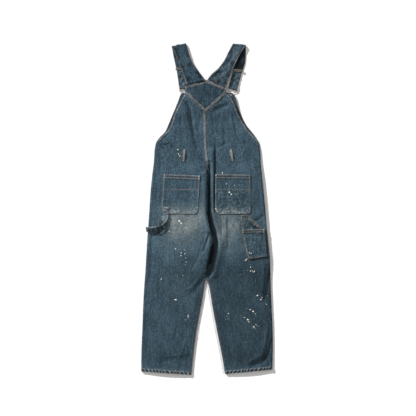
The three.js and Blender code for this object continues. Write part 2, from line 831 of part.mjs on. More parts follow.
// Belt loops: short strips that stand off the cloth between their sewn ends
const loopWidth = 14;
const loopRise = 3.2;
const loopParts = 8;
const loops = [
  { side: 'left', topX: -99, topY: 256, footX: -104, footY: 203 },
  { side: 'right', topX: 100, topY: 257, footX: 108, footY: 204 },
];
for (const loop of loops) {
  const stations = [];
  for (let k = 0; k <= loopParts; k++) {
    const t = k / loopParts;
    const x = loop.footX + (loop.topX - loop.footX) * t;
    const y = loop.footY + (loop.topY - loop.footY) * t;
    const rise = loopRise * Math.sin(Math.PI * t) ** 2;
    const level = clearHeight([backFaces[loop.side]], x, y, loopWidth / 2) + seamGap + denim / 2 + rise;
    const points = [-loopWidth / 2, loopWidth / 2].map((dx) => new THREE.Vector3(x + dx, y, level));
    stations.push({ points, facing: upVector });
  }
  addPiece(`belt_loop_${loop.side}`, stripWall(stations, denim), washedDenim);
}

// Hammer loop: a strip from the pocket's corner to the side seam, which stands up on its lower edge.
// Each row gives the strip's two edges and their heights above what lies under them.
const hammerCloth = 2.2;
const hammerRows = [
  { innerX: -188, innerY: 10, innerUp: 0.3, outerX: -163, outerY: 8, outerUp: 0.3 },
  { innerX: -188, innerY: -6, innerUp: 0.3, outerX: -163, outerY: -8, outerUp: 0.6 },
  { innerX: -191, innerY: -25, innerUp: 2, outerX: -166, outerY: -34, outerUp: 5 },
  { innerX: -198, innerY: -48, innerUp: 7, outerX: -173, outerY: -66, outerUp: 5 },
  { innerX: -206, innerY: -66, innerUp: 13, outerX: -188, outerY: -92, outerUp: 3 },
  { innerX: -219, innerY: -74, innerUp: 15, outerX: -210, outerY: -106, outerUp: 2 },
  { innerX: -238, innerY: -77, innerUp: 11, outerX: -236, outerY: -106, outerUp: 1 },
  { innerX: -263, innerY: -77, innerUp: 5, outerX: -260, outerY: -97, outerUp: 1 },
];
function hammerWall() {
  const under = [backFaces.left];
  const onPocket = 2; // rows that are sewn to the pocket
  const stations = hammerRows.map((row, k) => {
    const base = k < onPocket ? seamGap + denim : 0;
    const edgePoint = (x, y, up) =>
      new THREE.Vector3(x, y, Math.max(clearHeight(under, x, y, 6), 4) + base + up + hammerCloth / 2);
    const inner = edgePoint(row.innerX, row.innerY, row.innerUp);
    const outer = edgePoint(row.outerX, row.outerY, row.outerUp);
    return { inner, outer };
  });
  const rows = stations.map(({ inner, outer }, k) => {
    const after = stations[Math.min(k + 1, stations.length - 1)];
    const before = stations[Math.max(k - 1, 0)];
    const run = after.inner.clone().add(after.outer).sub(before.inner).sub(before.outer);
    const facing = run.cross(outer.clone().sub(inner)).normalize();
    if (facing.z < 0) facing.negate();
    return { points: [inner, inner.clone().lerp(outer, 0.5), outer], facing };
  });
  return stripWall(rows.reverse(), hammerCloth);
}
addPiece('hammer_loop', hammerWall(), washedDenim);

export default group;
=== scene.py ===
import json
import math

import bpy
import numpy as np
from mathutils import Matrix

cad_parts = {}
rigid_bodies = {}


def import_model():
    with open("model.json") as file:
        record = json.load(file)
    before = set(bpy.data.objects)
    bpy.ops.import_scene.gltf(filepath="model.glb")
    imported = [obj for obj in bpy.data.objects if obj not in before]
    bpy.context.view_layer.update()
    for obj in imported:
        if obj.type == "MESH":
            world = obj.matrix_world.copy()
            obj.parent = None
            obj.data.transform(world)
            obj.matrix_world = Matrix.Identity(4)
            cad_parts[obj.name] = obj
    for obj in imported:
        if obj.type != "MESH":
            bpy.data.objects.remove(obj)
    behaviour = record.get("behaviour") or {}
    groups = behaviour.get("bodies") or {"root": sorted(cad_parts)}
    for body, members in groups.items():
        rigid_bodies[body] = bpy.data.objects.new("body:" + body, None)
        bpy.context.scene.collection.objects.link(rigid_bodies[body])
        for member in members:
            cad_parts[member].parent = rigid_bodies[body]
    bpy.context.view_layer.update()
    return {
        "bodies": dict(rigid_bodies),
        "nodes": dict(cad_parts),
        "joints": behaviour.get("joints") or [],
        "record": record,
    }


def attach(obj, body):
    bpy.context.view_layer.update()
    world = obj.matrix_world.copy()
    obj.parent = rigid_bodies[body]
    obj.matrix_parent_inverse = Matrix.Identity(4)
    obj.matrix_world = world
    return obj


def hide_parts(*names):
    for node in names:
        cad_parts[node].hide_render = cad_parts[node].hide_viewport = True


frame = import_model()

# Denim dungarees laid face down. Sizes are in millimetres and become metres in the meshes.
mm = 0.001


# sRGB hex to linear
def hexColour(text):
    parts = [int(text[k:k + 2], 16) / 255 for k in (0, 2, 4)]
    linear = [p / 12.92 if p <= 0.04045 else ((p + 0.055) / 1.055) ** 2.4 for p in parts]
    return (*linear, 1.0)


def addNode(tree, kind, settings=None, **links):
    node = tree.nodes.new(kind)
    for name, value in (settings or {}).items():
        setattr(node, name, value)
    for name, value in links.items():
        key = int(name[1:]) if name[0] == "i" and name[1:].isdigit() else name.replace("_", " ")
        if isinstance(value, bpy.types.NodeSocket):
            tree.links.new(value, node.inputs[key])
        else:
            node.inputs[key].default_value = value
    return node


# Camera: square above the garment, as the photograph was taken
view = {"x": 4.3, "y": 4.3, "height": 4224, "lens": 85}
cameraData = bpy.data.cameras.new("camera")
cameraData.lens = view["lens"]
cameraData.clip_end = 50
camera = bpy.data.objects.new("camera", cameraData)
camera.location = (view["x"] * mm, view["y"] * mm, view["height"] * mm)
bpy.context.collection.objects.link(camera)
bpy.context.scene.camera = camera
bpy.context.scene.view_settings.view_transform = "Standard"

# Light: a low key from the upper left and an even fill
light = {"key": 7.4, "elevation": 19, "fromLeft": 40, "spread": 2.0, "fill": 0.55}
keyData = bpy.data.lights.new("key", "SUN")
keyData.energy = light["key"]
keyData.angle = math.radians(light["spread"])
key = bpy.data.objects.new("key", keyData)
key.rotation_euler = (math.radians(light["elevation"] - 90), 0, math.radians(light["fromLeft"]))
bpy.context.collection.objects.link(key)
world = bpy.data.worlds.new("studio")
bpy.context.scene.world = world
world.use_nodes = True
world.node_tree.nodes["Background"].inputs["Color"].default_value = (1.0, 0.975, 0.95, 1)
world.node_tree.nodes["Background"].inputs["Strength"].default_value = light["fill"]

bpy.ops.object.select_all(action="DESELECT")
bpy.ops.mesh.primitive_plane_add(size=40, location=(0, 0, -0.0006))
floor = bpy.context.object
floor.name = "floor"
paper = bpy.data.materials.new("white matt paper")
paper.use_nodes = True
paperShader = paper.node_tree.nodes["Principled BSDF"]
paperShader.inputs["Base Color"].default_value = (0.82, 0.825, 0.83, 1)
paperShader.inputs["Roughness"].default_value = 0.9
paperShader.inputs["Specular IOR Level"].default_value = 0.1
floor.data.materials.append(paper)
print("camera, light and floor")

# Cloth and how the garment lies
cloth = {
    "denim": 1.4, "strap": 2.4, "gap": 0.3, "felled": 0.9, "hemLap": 1.5,
    "armholeBand": 9, "seatBand": 8, "hemBand": 14, "sideSeam": 1.0, "hemDrop": 2.0,
    "fullness": 5.2, "rollIn": 16, "foldReach": 26, "sideRise": 4.4, "sideReach": 24,
    "bibRise": 4, "bibRiseFrom": 395, "bibRiseOver": 65, "backRise": 5.2, "backRiseFrom": 370,
    "stitchDent": 0.9, "ropePitch": 15.5,
}

# Rows of stitches: how far each lies from its seam or edge
stitchRows = {
    "armhole": (5, 8.4), "hem": 11.6, "inseam": (2.6, 8.2), "yoke": (2.4, 8.4), "yokeEnd": 2.4,
    "seat": (2.2, 6.2), "front": (2.6, 8.6), "patch": (2.4, 8.0), "mouth": 2.6, "slope": (2.4, 8.2),
    "strap": (2.4, 8.6), "strapEnd": (2.6, 7.4), "beltLoop": (2.2,),
}

seatSeam = [(-6.5, 414.5), (-5, 345), (-2, 262), (7, 185), (9.5, 90), (10, -15),
            (22, -72), (37, -140), (27, -205), (13, -262), (-5.6, -295)]
leftInseam = [(-13, -340), (-21, -391), (-45, -520), (-59, -625), (-68, -713)]
rightInseam = [(9, -332), (23, -413), (43, -520), (62, -615), (78.7, -709)]
yokePoint, yokeTop = (-6.5, 414.5), (-2.5, 555)
yokeLeft, yokeLeftTop = (-95.5, 497.5), (-89.5, 534)
yokeRight, yokeRightTop = (86.5, 499.5), (77.5, 520.5)
leftEdge = [(-99.5, 489.5), (-117, 457), (-142, 404), (-162, 348), (-217, 286), (-229, 195),
            (-240.5, 95), (-248, -12), (-252, -72), (-257, -138), (-261, -203), (-264, -258),
            (-266.5, -293), (-270, -340), (-273, -391), (-278, -520), (-282, -620), (-282.5, -697.5)]
rightEdge = [(91.5, 492), (113, 463), (137, 404), (176, 339), (220.6, 290), (231.5, 187),
             (241.5, 90), (251, -13), (255.5, -70), (263, -140), (269.5, -205), (271.5, -258),
             (272.5, -293), (273.5, -335), (277, -413), (281.5, -515), (282.5, -600), (280.5, -690)]

# Main folds of the back: half width, height (a trough is below 0) and path
folds = [
    (9, -13, [(9.5, 196), (10, -15), (22, -72), (37, -140), (27, -205), (8, -280)]),
    (13, -9, [(29, -112), (33, -158), (25, -208), (12, -256)]),
    (15, 5.5, [(-8, 150), (-8, -15), (0, -72), (12, -140), (0, -210)]),
    (13, 5, [(26, 250), (27, -15), (42, -72), (60, -140), (49, -215), (30, -285)]),
    (6, -2.4, [(35, 240), (36, 160), (33, 0)]),
    (8, -1.4, [(34, 330), (35, 250)]),
    (15, -3, [(-82, 444), (-69, 374), (-34, 276), (-12, 205)]),
    (11, -2.5, [(89, 449), (37, 422)]),
    (9, -2, [(88, 283), (41, 261)]),
    (75, 3, [(-120, -40), (-125, -120)]),
    (70, 3, [(130, -20), (135, -110)]),
    (62, 3, [(-150, -260), (-178, -640)]),
    (60, 3, [(150, -260), (182, -640)]),
    (13, -2.6, [(-12, -284), (-57, -359)]),
    (7, -3.5, [(10, -104), (-14, -180)]),
    (11, -3, [(91, -60), (91, -172)]),
    (9, -3, [(241, -24), (211, -49)]),
    (10, -3, [(-236, -125), (-243, -290)]),
    (11, -4.5, [(267, -240), (261, -294), (255, -343), (249, -390)]),
    (12, -4, [(282, -505), (269, -591), (256, -637), (234, -658), (194, -672)]),
    (12, -2, [(-185, -651), (-76, -638)]),
]


# Centripetal Catmull-Rom curve through points; places count points from 0
def curveAt(points, places):
    p = np.array(points, float)
    p = np.vstack([2 * p[0] - p[1], p, 2 * p[-1] - p[-2]])
    places = np.clip(np.asarray(places, float), 0, len(points) - 1)
    k = np.minimum(places.astype(int), len(points) - 2)
    t = (places - k)[:, None]
    a, b, c, d = p[k], p[k + 1], p[k + 2], p[k + 3]
    ab, bc, cd = (np.maximum(np.sum((v - u) ** 2, 1), 1e-8)[:, None] ** 0.25
                  for u, v in ((a, b), (b, c), (c, d)))
    tangentB = ((b - a) / ab - (c - a) / (ab + bc) + (c - b) / bc) * bc
    tangentC = ((c - b) / bc - (d - b) / (bc + cd) + (d - c) / cd) * bc
    return (b + tangentB * t + (-3 * b + 3 * c - 2 * tangentB - tangentC) * t ** 2
            + (2 * b - 2 * c + tangentB + tangentC) * t ** 3)


def curvePath(points, places):
    return list(map(tuple, curveAt(points, places)))


def pathDistance(x, y, path):
    nearest = np.full(np.shape(x), 1e9)
    for a, b in zip(path, path[1:]):
        runX, runY = b[0] - a[0], b[1] - a[1]
        t = np.clip(((x - a[0]) * runX + (y - a[1]) * runY) / (runX ** 2 + runY ** 2), 0, 1)
        nearest = np.minimum(nearest, np.hypot(x - a[0] - t * runX, y - a[1] - t * runY))
    return nearest


# Soft ridges and troughs along paths: half width, height and path of each
def ridgesAt(x, y, lines):
    return sum(high * np.exp(-(pathDistance(x, y, path) / wide) ** 2) for wide, high, path in lines)


def smooth(t):
    t = np.clip(t, 0, 1)
    return t * t * (3 - 2 * t)


# Smooth noise from -1 to 1 with cells of the given size
def softNoise(x, y, across, along, seed):
    table = np.random.RandomState(seed).uniform(-1, 1, (64, 64))
    u, v = np.asarray(x) / across + 1000, np.asarray(y) / along + 1000
    i, j = np.floor(u).astype(int), np.floor(v).astype(int)
    s, t = smooth(u - i), smooth(v - j)
    low = table[i % 64, j % 64] * (1 - s) + table[(i + 1) % 64, j % 64] * s
    high = table[i % 64, (j + 1) % 64] * (1 - s) + table[(i + 1) % 64, (j + 1) % 64] * s
    return low * (1 - t) + high * t


crotch = seatSeam[-1]
curveSamples = np.linspace(0, 1, 160)
leftRim = [yokeTop, yokeLeftTop, yokeLeft, *curvePath(leftEdge, curveSamples * (len(leftEdge) - 1))]
rightRim = [yokeTop, yokeRightTop, yokeRight, *curvePath(rightEdge, curveSamples * (len(rightEdge) - 1))]
rims = [leftRim, rightRim, [crotch, *leftInseam], [crotch, *rightInseam]]


def rimDistance(x, y):
    return np.minimum.reduce([pathDistance(x, y, rim) for rim in rims])


# How far the right side seam stands off the surface, together with the front under it
def sideRise(x, y):
    along = smooth((280 - y) / 150) * (1 - 0.8 * smooth((-200 - y) / 120))
    return cloth["sideRise"] * along * np.exp(-(pathDistance(x, y, rightRim) / cloth["sideReach"]) ** 2)


# The back lies higher where the bib is under it
def backLift(y):
    return cloth["backRise"] * smooth((y - cloth["backRiseFrom"]) / cloth["bibRiseOver"])


# Underside of the back above the surface, before the fine creases
def lie(x, y):
    away = rimDistance(x, y)
    lift = backLift(y)
    height = ridgesAt(x, y, folds)
    risen = cloth["fullness"] * (1 - np.exp(-away / cloth["rollIn"]))
    risen = risen + height * smooth(away / cloth["foldReach"])
    risen = risen - cloth["hemDrop"] * smooth((-620 - y) / 70) * smooth(away / cloth["foldReach"])
    return cloth["denim"] + cloth["gap"] + lift + np.maximum(risen, 0) + sideRise(x, y)


# Fine creases over the main folds: half width, height and path
creases = [
    (4, 1.6, [(-30, 150), (-31, 40), (-27, -40), (-16, -95)]),
    (3.5, -1.8, [(24, -70), (30, -96), (33, -128)]),
    (4, 2.2, [(-2, -118), (-10, -150), (-16, -196)]),
    (5, -1.6, [(-24, -150), (-38, -208), (-64, -256)]),
    (6, 0.9, [(-30, -296), (-62, -332), (-92, -352)]),
    (5, -0.6, [(-44, -300), (-84, -336)]),
    (5, 1.3, [(16, -330), (42, -366), (80, -392)]),
    (4, -1.4, [(12, -316), (40, -342), (66, -352)]),
    (6, 1.6, [(244, -238), (244, -296), (236, -352)]),
    (7, 1.6, [(262, -500), (250, -580), (236, -622), (214, -640), (186, -652)]),
    (4, 0.6, [(-180, -634), (-120, -628), (-80, -622)]),
    (5, -1.4, [(-212, 96), (-216, 40), (-214, 8)]),
    (4, 1.1, [(-202, 92), (-205, 30)]),
    (5, -1.2, [(218, 150), (224, 60), (229, -10)]),
    (5, 1.3, [(-56, 372), (-48, 300), (-26, 232)]),
    (4, -1.3, [(60, 402), (76, 330), (74, 276)]),
    (4, 1.2, [(100, 420), (112, 352), (120, 300)]),
    (5, -1.2, [(-110, 420), (-112, 350), (-104, 290)]),
    (4, -1.2, [(-170, 262), (-150, 226), (-128, 212)]),
    (4, 1.1, [(170, 268), (152, 236), (134, 218)]),
    (4, -1.5, [(60, -24), (64, -80), (62, -140)]),
    (4, 1.4, [(80, -30), (82, -90), (84, -160)]),
    (4, -1.0, [(-150, -190), (-158, -260), (-154, -330)]),
    (5, 1.0, [(-210, -200), (-216, -300), (-214, -380)]),
    (5, -1.1, [(150, -260), (158, -340), (170, -420)]),
    (6, 1.1, [(90, -440), (104, -520), (112, -600)]),
    (5, -1.0, [(-120, -420), (-128, -500), (-140, -570)]),
    (5, 1.0, [(210, -420), (222, -500), (224, -560)]),
    (4, -1.2, [(-250, -500), (-256, -570), (-258, -640)]),
    (4, 1.3, [(-90, -560), (-104, -606), (-122, -640)]),
    (4, -1.3, [(98, -600), (110, -640), (140, -672)]),
    (8, -3.6, [(-86, 452), (-74, 420), (-67, 360), (-56, 312), (-42, 262)]),
    (7, 1.8, [(-64, 440), (-54, 376), (-40, 322)]),
    (9, -1.5, [(27, 424), (60, 436), (82, 448)]),
    (6, -1.6, [(22, 410), (29, 362), (30, 320)]),
    (6, 1.2, [(-112, 420), (-96, 360), (-88, 312)]),
    (7, -1.5, [(-30, 392), (-36, 340), (-28, 290)]),
    (7, 1.3, [(66, 400), (62, 340), (66, 280)]),
    (6, -1.4, [(112, 396), (126, 330), (150, 280)]),
    (7, 1.2, [(-190, 250), (-176, 200), (-176, 160)]),
    (7, -1.2, [(-206, 240), (-196, 190), (-198, 150)]),
    (7, -1.2, [(190, 250), (186, 200), (196, 150)]),
    (4, -1.6, [(35, 250), (36, 160), (33, 20)]),
    (5, -1.4, [(-216, 104), (-200, 60), (-198, 20)]),
    (4, -1.6, [(-12, -105), (-12, -160), (-13, -180)]),
]

armholePaths = {}
for sideName, table in (("left", leftEdge), ("right", rightEdge)):
    armholePaths[sideName] = curvePath(table, np.linspace(0, 4, 48))
hemPaths = {"left": [leftEdge[-1], leftInseam[-1]], "right": [rightEdge[-1], rightInseam[-1]]}
inseamPaths = {"left": [crotch, *leftInseam], "right": [crotch, *rightInseam]}
seatPath = curvePath(seatSeam, np.linspace(0, 10, 80))
seatTop = seatPath[:31]
yokeLowerPaths = {"left": [yokePoint, yokeLeft], "right": [yokePoint, yokeRight]}


# Dents of rows of stitches at some distances from an edge
def stitchDents(away, rows):
    return sum(np.exp(-((away - at) / cloth["stitchDent"]) ** 2) for at in rows)


# A folded edge or felled seam: raised up to its width, with the dents of its two rows of stitches
def band(away, width, high, run=1.0):
    step = high * (1 - smooth((away - width) / run))
    return step - 0.3 * stitchDents(away, (2.4, width - 2.4)) * (away < width)


# Seams draw the cloth up in short ripples that die away from them
def pucker(away, x, y, seed, reach=13, high=0.6):
    return high * np.exp(-away / reach) * softNoise(x, y, 8.5, 8.5, seed)


# Slanting ripples of a washed hem, from -1 to 1
def roping(x, y, side):
    hem = hemPaths[side]
    runX, runY = hem[1][0] - hem[0][0], hem[1][1] - hem[0][1]
    length = math.hypot(runX, runY)
    along = ((x - hem[0][0]) * runX + (y - hem[0][1]) * runY) / length
    above = ((y - hem[0][1]) * runX - (x - hem[0][0]) * runY) / length
    slant = 0.75 if side == "left" else -0.75
    uneven = 6 * softNoise(x, y, 30, 30, 5)
    strength = 0.75 + 0.4 * softNoise(x, y, 9, 9, 6)
    return np.sin(2 * np.pi * (along + slant * above + uneven) / cloth["ropePitch"]) * strength


# Creases, puckers and slubs of the back, on both of its faces
def relief(x, y, side):
    away = rimDistance(x, y)
    armhole = pathDistance(x, y, armholePaths[side])
    seat = pathDistance(x, y, seatTop)
    hem = pathDistance(x, y, hemPaths[side])
    inseam = pathDistance(x, y, inseamPaths[side])
    yokeSeam = pathDistance(x, y, yokeLowerPaths[side])
    fine = ridgesAt(x, y, creases)
    fine = fine + 0.75 * softNoise(x, y, 26, 85, 1) + 0.4 * softNoise(x, y, 11, 34, 2)
    fine = fine + 0.16 * softNoise(x, y, 5, 9, 3)
    total = fine * smooth((away - 2) / 18) * smooth(hem / 26)
    total = total + pucker(armhole, x, y, 11) + pucker(seat, x, y, 12, 10, 0.7)
    total = total + pucker(inseam, x, y, 13, 9, 0.5) + pucker(yokeSeam, x, y, 14, 12, 0.6)
    total = total + pucker(away, x, y, 15, 10, 0.45)
    total = total + 1.2 * roping(x, y, side) * (1 - smooth((hem - 12) / 5)) * smooth(hem / 2)
    return total + 0.5 * softNoise(x, y, 9, 14, 16) * np.exp(-np.maximum(hem - 14, 0) / 12) * (hem > 14)


# Folded edges, the felled seam and the hem, which stand above the single cloth
def seamBands(x, y, side):
    top = band(pathDistance(x, y, armholePaths[side]), cloth["armholeBand"], cloth["felled"])
    if side == "left":
        top = top + band(pathDistance(x, y, seatTop), cloth["seatBand"], cloth["felled"])
    top = top + cloth["sideSeam"] * (1 - smooth((rimDistance(x, y) - 8) / 4)) * smooth((280 - y) / 30)
    return top + band(pathDistance(x, y, hemPaths[side]), cloth["hemBand"], cloth["hemLap"])


def backUnder(x, y, side):
    lowest = cloth["denim"] + 0.1 + backLift(y)
    return np.maximum(lie(x, y) + relief(x, y, side), lowest)


def backTop(x, y, side):
    edge = np.minimum(rimDistance(x, y), pathDistance(x, y, hemPaths[side]))
    top = backUnder(x, y, side) + cloth["denim"] + seamBands(x, y, side)
    return top - np.minimum(edgeRound(edge), 0.8)


def edgeRound(away, radius=1.0):
    away = np.clip(away, 0, radius)
    return radius * (1 - np.sqrt(np.clip(1 - (1 - away / radius) ** 2, 0, 1)))


# How worn and faded the cloth is at a place: x, y, reach across, reach along, strength
fades = [
    (-118, -66, 68, 46, 0.72), (-64, -52, 34, 52, 0.5), (-128, -6, 62, 22, 0.34), (-22, -40, 13, 62, 0.5),
    (-158, -56, 30, 36, 0.3), (-118, -128, 82, 40, 0.2),
    (66, -60, 30, 50, 0.52), (108, -68, 36, 48, 0.5), (104, -8, 66, 15, 0.42), (62, -118, 34, 44, 0.3),
    (140, -62, 22, 44, 0.35), (110, -140, 80, 50, 0.14), (-120, -300, 110, 160, 0.05),
]


def fadeAt(x, y):
    total = sum(s * np.exp(-((x - cx) / rx) ** 2 - ((y - cy) / ry) ** 2) for cx, cy, rx, ry, s in fades)
    return np.clip(total * (1 + 0.4 * softNoise(x, y, 16, 24, 31) + 0.35 * softNoise(x, y, 6, 9, 32)), 0, 1)


# Brown cast over a twin-stitched band, uneven along it
def bandTint(away, width, x, y, seed):
    return (1 - smooth((away - width) / 1.5)) * np.clip(0.75 + 0.45 * softNoise(x, y, 11, 11, seed), 0, 1)


# Pale abrasion on the ridges of a seam
def seamWear(away, x, y, reach, seed, strength=1.0):
    spots = 0.55 + 0.45 * softNoise(x, y, 9, 9, seed) + 0.3 * softNoise(x, y, 4, 4, seed + 1)
    return strength * np.exp(-(away / reach) ** 2) * np.clip(spots, 0, 1)


def makeMesh(name, points, faces, uv, marks):
    mesh = bpy.data.meshes.new(name)
    mesh.from_pydata((np.asarray(points) * mm).tolist(), [], faces)
    mesh.update()
    layer = mesh.uv_layers.new(name="cloth")
    loops = np.zeros(len(mesh.loops), int)
    mesh.loops.foreach_get("vertex_index", loops)
    layer.data.foreach_set("uv", (np.asarray(uv)[loops] * mm).ravel())
    for mark, values in marks.items():
        attribute = mesh.attributes.new(mark, "FLOAT", "POINT")
        attribute.data.foreach_set("value", np.asarray(values, float).ravel())
    mesh.polygons.foreach_set("use_smooth", [True] * len(mesh.polygons))
    piece = bpy.data.objects.new(name, mesh)
    bpy.context.collection.objects.link(piece)
    return piece


# A closed cloth wall between two grids of points; rows run up and columns right, seen from outside
def wallOf(name, upper, lower, uv, marks):
    rows, columns = upper.shape[:2]
    count = rows * columns
    index = np.arange(count).reshape(rows, columns)
    a, b, c, d = index[:-1, :-1], index[:-1, 1:], index[1:, 1:], index[1:, :-1]
    quads = [np.stack([a, b, c, d], -1).reshape(-1, 4), np.stack([a, d, c, b], -1).reshape(-1, 4) + count]
    rim = np.concatenate([index[0], index[1:, -1], index[-1, -2::-1], index[-2:0:-1, 0]])
    after = np.roll(rim, -1)
    quads.append(np.stack([rim + count, after + count, after, rim], -1))
    faces = np.concatenate(quads).tolist()
    points = np.concatenate([upper.reshape(-1, 3), lower.reshape(-1, 3)])
    doubled = {mark: np.tile(np.broadcast_to(v, (rows, columns)).ravel(), 2) for mark, v in marks.items()}
    return makeMesh(name, points, faces, np.tile(uv.reshape(-1, 2), (2, 1)), doubled)


# How far along a line each point is, from the steps between them
def reachOf(steps):
    return np.concatenate([[0], np.cumsum(steps)])


def pathShares(path, shares):
    path = np.array(path, float)
    reach = reachOf(np.hypot(*np.diff(path, axis=0).T))
    return np.stack([np.interp(shares * reach[-1], reach, path[:, k]) for k in (0, 1)], -1)


# Grid of x, y points: rows between two paths, at shares of their lengths
def sheetBetween(leftPath, rightPath, rowPlaces, columnPlaces):
    left, right = pathShares(leftPath, rowPlaces), pathShares(rightPath, rowPlaces)
    return left[:, None] * (1 - columnPlaces)[None, :, None] + right[:, None] * columnPlaces[None, :, None]


# Places across a piece: close at its edges, where folds and bands are, and even between
edgeDistances = np.array([0, 0.4, 1, 2, 3.5, 5.5, 7.5, 9, 10.2, 11.2, 12.4, 14, 17])


def placesAcross(width, middle, fullWidth=150):
    near = edgeDistances * min(1, width / fullWidth) / width
    between = np.linspace(near[-1], 1 - near[-1], middle + 2)[1:-1]
    return np.concatenate([near, between, 1 - near[::-1]])


def pathLength(path):
    return float(np.hypot(*np.diff(np.array(path, float), axis=0).T).sum())


def withHeight(grid, height):
    return np.concatenate([grid, np.asarray(height)[..., None]], -1)


# Back panels: rows run from the outer edge to the middle seam, by the same sections as the cut
backGrid = {"rowStep": 3.4, "columns": 60, "yokeRows": 2, "crotchRow": 12}
sides = {
    "left": {"edge": leftEdge, "inseam": leftInseam, "corner": yokeLeft, "outward": -1},
    "right": {"edge": rightEdge, "inseam": rightInseam, "corner": yokeRight, "outward": 1},
}


def rowEnds(side, sections):
    table = sides[side]
    outer = curveAt(table["edge"], sections)
    share = np.clip(0.95 * (1 - sections / backGrid["yokeRows"]), 0, 1)[:, None]
    onYoke = np.array(yokePoint) + (np.array(table["corner"]) - np.array(yokePoint)) * share
    onSeat = curveAt(seatSeam, sections - backGrid["yokeRows"])
    onLeg = curveAt([crotch, *table["inseam"]], sections - backGrid["crotchRow"])
    aboveCrotch = np.where((sections < backGrid["yokeRows"])[:, None], onYoke, onSeat)
    inner = np.where((sections < backGrid["crotchRow"])[:, None], aboveCrotch, onLeg)
    inner[:, 0] += table["outward"] * cloth["gap"] * 0.75
    return outer, inner


def rowSections(side, step):
    dense = np.linspace(0, len(leftEdge) - 1, 3000)
    outer, inner = rowEnds(side, dense)
    runs = np.maximum(np.hypot(*np.diff(outer, axis=0).T), np.hypot(*np.diff(inner, axis=0).T))
    reach = reachOf(runs)
    total = reach[-1]
    near = edgeDistances * 1.3
    middle = np.linspace(near[-1], total - near[-1], int(total / step))[1:-1]
    return np.interp(np.concatenate([near, middle, total - near[::-1]]), reach, dense)[::-1]


def makeBack(side):
    sections = rowSections(side, backGrid["rowStep"])
    outer, inner = rowEnds(side, sections)
    rows = []
    for a, b in zip(outer, inner):
        places = placesAcross(np.hypot(*(b - a)), backGrid["columns"])[:, None]
        row = a + (b - a) * places
        rows.append(row if side == "left" else row[::-1])
    flat = np.array(rows)
    x, y = flat[..., 0], flat[..., 1]
    top, under = backTop(x, y, side), backUnder(x, y, side)
    centre = (outer[:, 0] + inner[:, 0])[:, None] / 2
    uv = np.stack([x - centre, y], -1)
    marks = {"fade": fadeAt(x, y), "wear": backWear(x, y, side), "deep": deepAt(x, y),
             "sewn": backSewn(x, y, side)}
    hem = pathDistance(x, y, hemPaths[side])
    # Painted shade in the troughs between the hem's ropes
    ropingGapShade = smooth(-2.6 * roping(x, y, side)) * (0.95 - 0.3 * softNoise(x, y, 20, 20, 48))
    marks["deep"] = np.clip(marks["deep"] + ropingGapShade * (hem < 11) * smooth(hem / 2), 0, 1)
    return wallOf(f"clothBack{side.title()}", withHeight(flat, top), withHeight(flat, under), uv, marks)


# Colour marks along the seams of the back
def backWear(x, y, side):
    armhole = pathDistance(x, y, armholePaths[side])
    wear = seamWear(np.abs(armhole - 5), x, y, 1.8, 41, 0.8)
    seat = pathDistance(x, y, seatTop)
    wear = wear + seamWear(np.abs(seat - 5), x, y, 5, 43, 0.6) * (1 if side == "left" else 0.25)
    hem = pathDistance(x, y, hemPaths[side])
    ridges = smooth(1.6 * roping(x, y, side)) * (hem < 14)
    wear = wear + 1.1 * ridges * (0.7 + 0.6 * softNoise(x, y, 7, 7, 46)) + seamWear(hem, x, y, 1.8, 45, 0.5)
    wear = wear + seamWear(rimDistance(x, y), x, y, 2.2, 47, 0.35)
    wear = wear + seamWear(pathDistance(x, y, inseamPaths[side]), x, y, 5, 49, 0.3)
    return np.clip(wear, 0, 1)


def backSewn(x, y, side):
    sewn = 0.15 * bandTint(pathDistance(x, y, armholePaths[side]), cloth["armholeBand"], x, y, 55)
    if side == "left":
        seat = bandTint(pathDistance(x, y, seatTop), cloth["seatBand"], x, y, 56)
        sewn = np.maximum(sewn, seat * smooth((y - 165) / 45))
    sewn = np.maximum(sewn, 0.35 * bandTint(pathDistance(x, y, inseamPaths[side]), 8, x, y, 57))
    hem = bandTint(pathDistance(x, y, hemPaths[side]), cloth["hemBand"], x, y, 58)
    return 0.75 * np.maximum(sewn, 0.3 * hem)


# The deep fold down the middle: where the painted shade inside it begins and ends, from top to bottom
foldBottom = [(196, 2, 13), (140, 0, 16.5), (26, 1, 19), (-17, -1, 20), (-52, 6, 29), (-99, 17, 41),
              (-142, 27, 49), (-162, 14.6, 49), (-208, 6, 43), (-266, -3, 29), (-300, -8, 4)]


# Painted shade of the back: inside the deep middle fold, along creases, beside the pocket's seam, at the rim
# and in bunched cloth, with the legs darker as well
def deepAt(x, y):
    levels, lefts, rights = np.array(foldBottom[::-1], float).T
    left, right = np.interp(y, levels, lefts), np.interp(y, levels, rights)
    ragged = 1.6 * softNoise(x, y, 7, 16, 51)
    inside = smooth((x - left + 2 + ragged) / 5) * smooth((right - x + 2 + ragged) / 5)
    ends = smooth((204 - y) / 16) * smooth((y + 300) / 14)
    crotchCrease = ridgesAt(x, y, [(7, 0.6, [(-8, -280), (-30, -318), (-50, -348)])])
    crotchCrease = crotchCrease * smooth((y + 366) / 60)
    seatCrease = ridgesAt(x, y, [(4, 0.5, [(10, -104), (-11, -162), (-14, -180)])])
    besideSeam = ridgesAt(x, y, [(4, 0.9, [(33, 320), (35, 190), (32, 140), (32, -10)])])
    besideSeam = besideSeam * smooth((325 - y) / 90)
    # Painted shade under the rolled rim and in dents near it
    away = rimDistance(x, y)
    rim = np.exp(-(away / 2.5) ** 2) * (0.3 + 0.25 * softNoise(x, y, 9, 9, 57))
    dents = 0.5 * np.exp(-(away / 16) ** 2) * np.clip(softNoise(x, y, 7, 7, 59) - 0.15, 0, 1)
    total = inside * ends * 0.97 + crotchCrease + seatCrease + besideSeam + legShade(x, y) + rim + dents
    total = total + ridgesAt(x, y, shadeLines)
    return np.clip(total + bunchedAt(x, y), 0, 1)


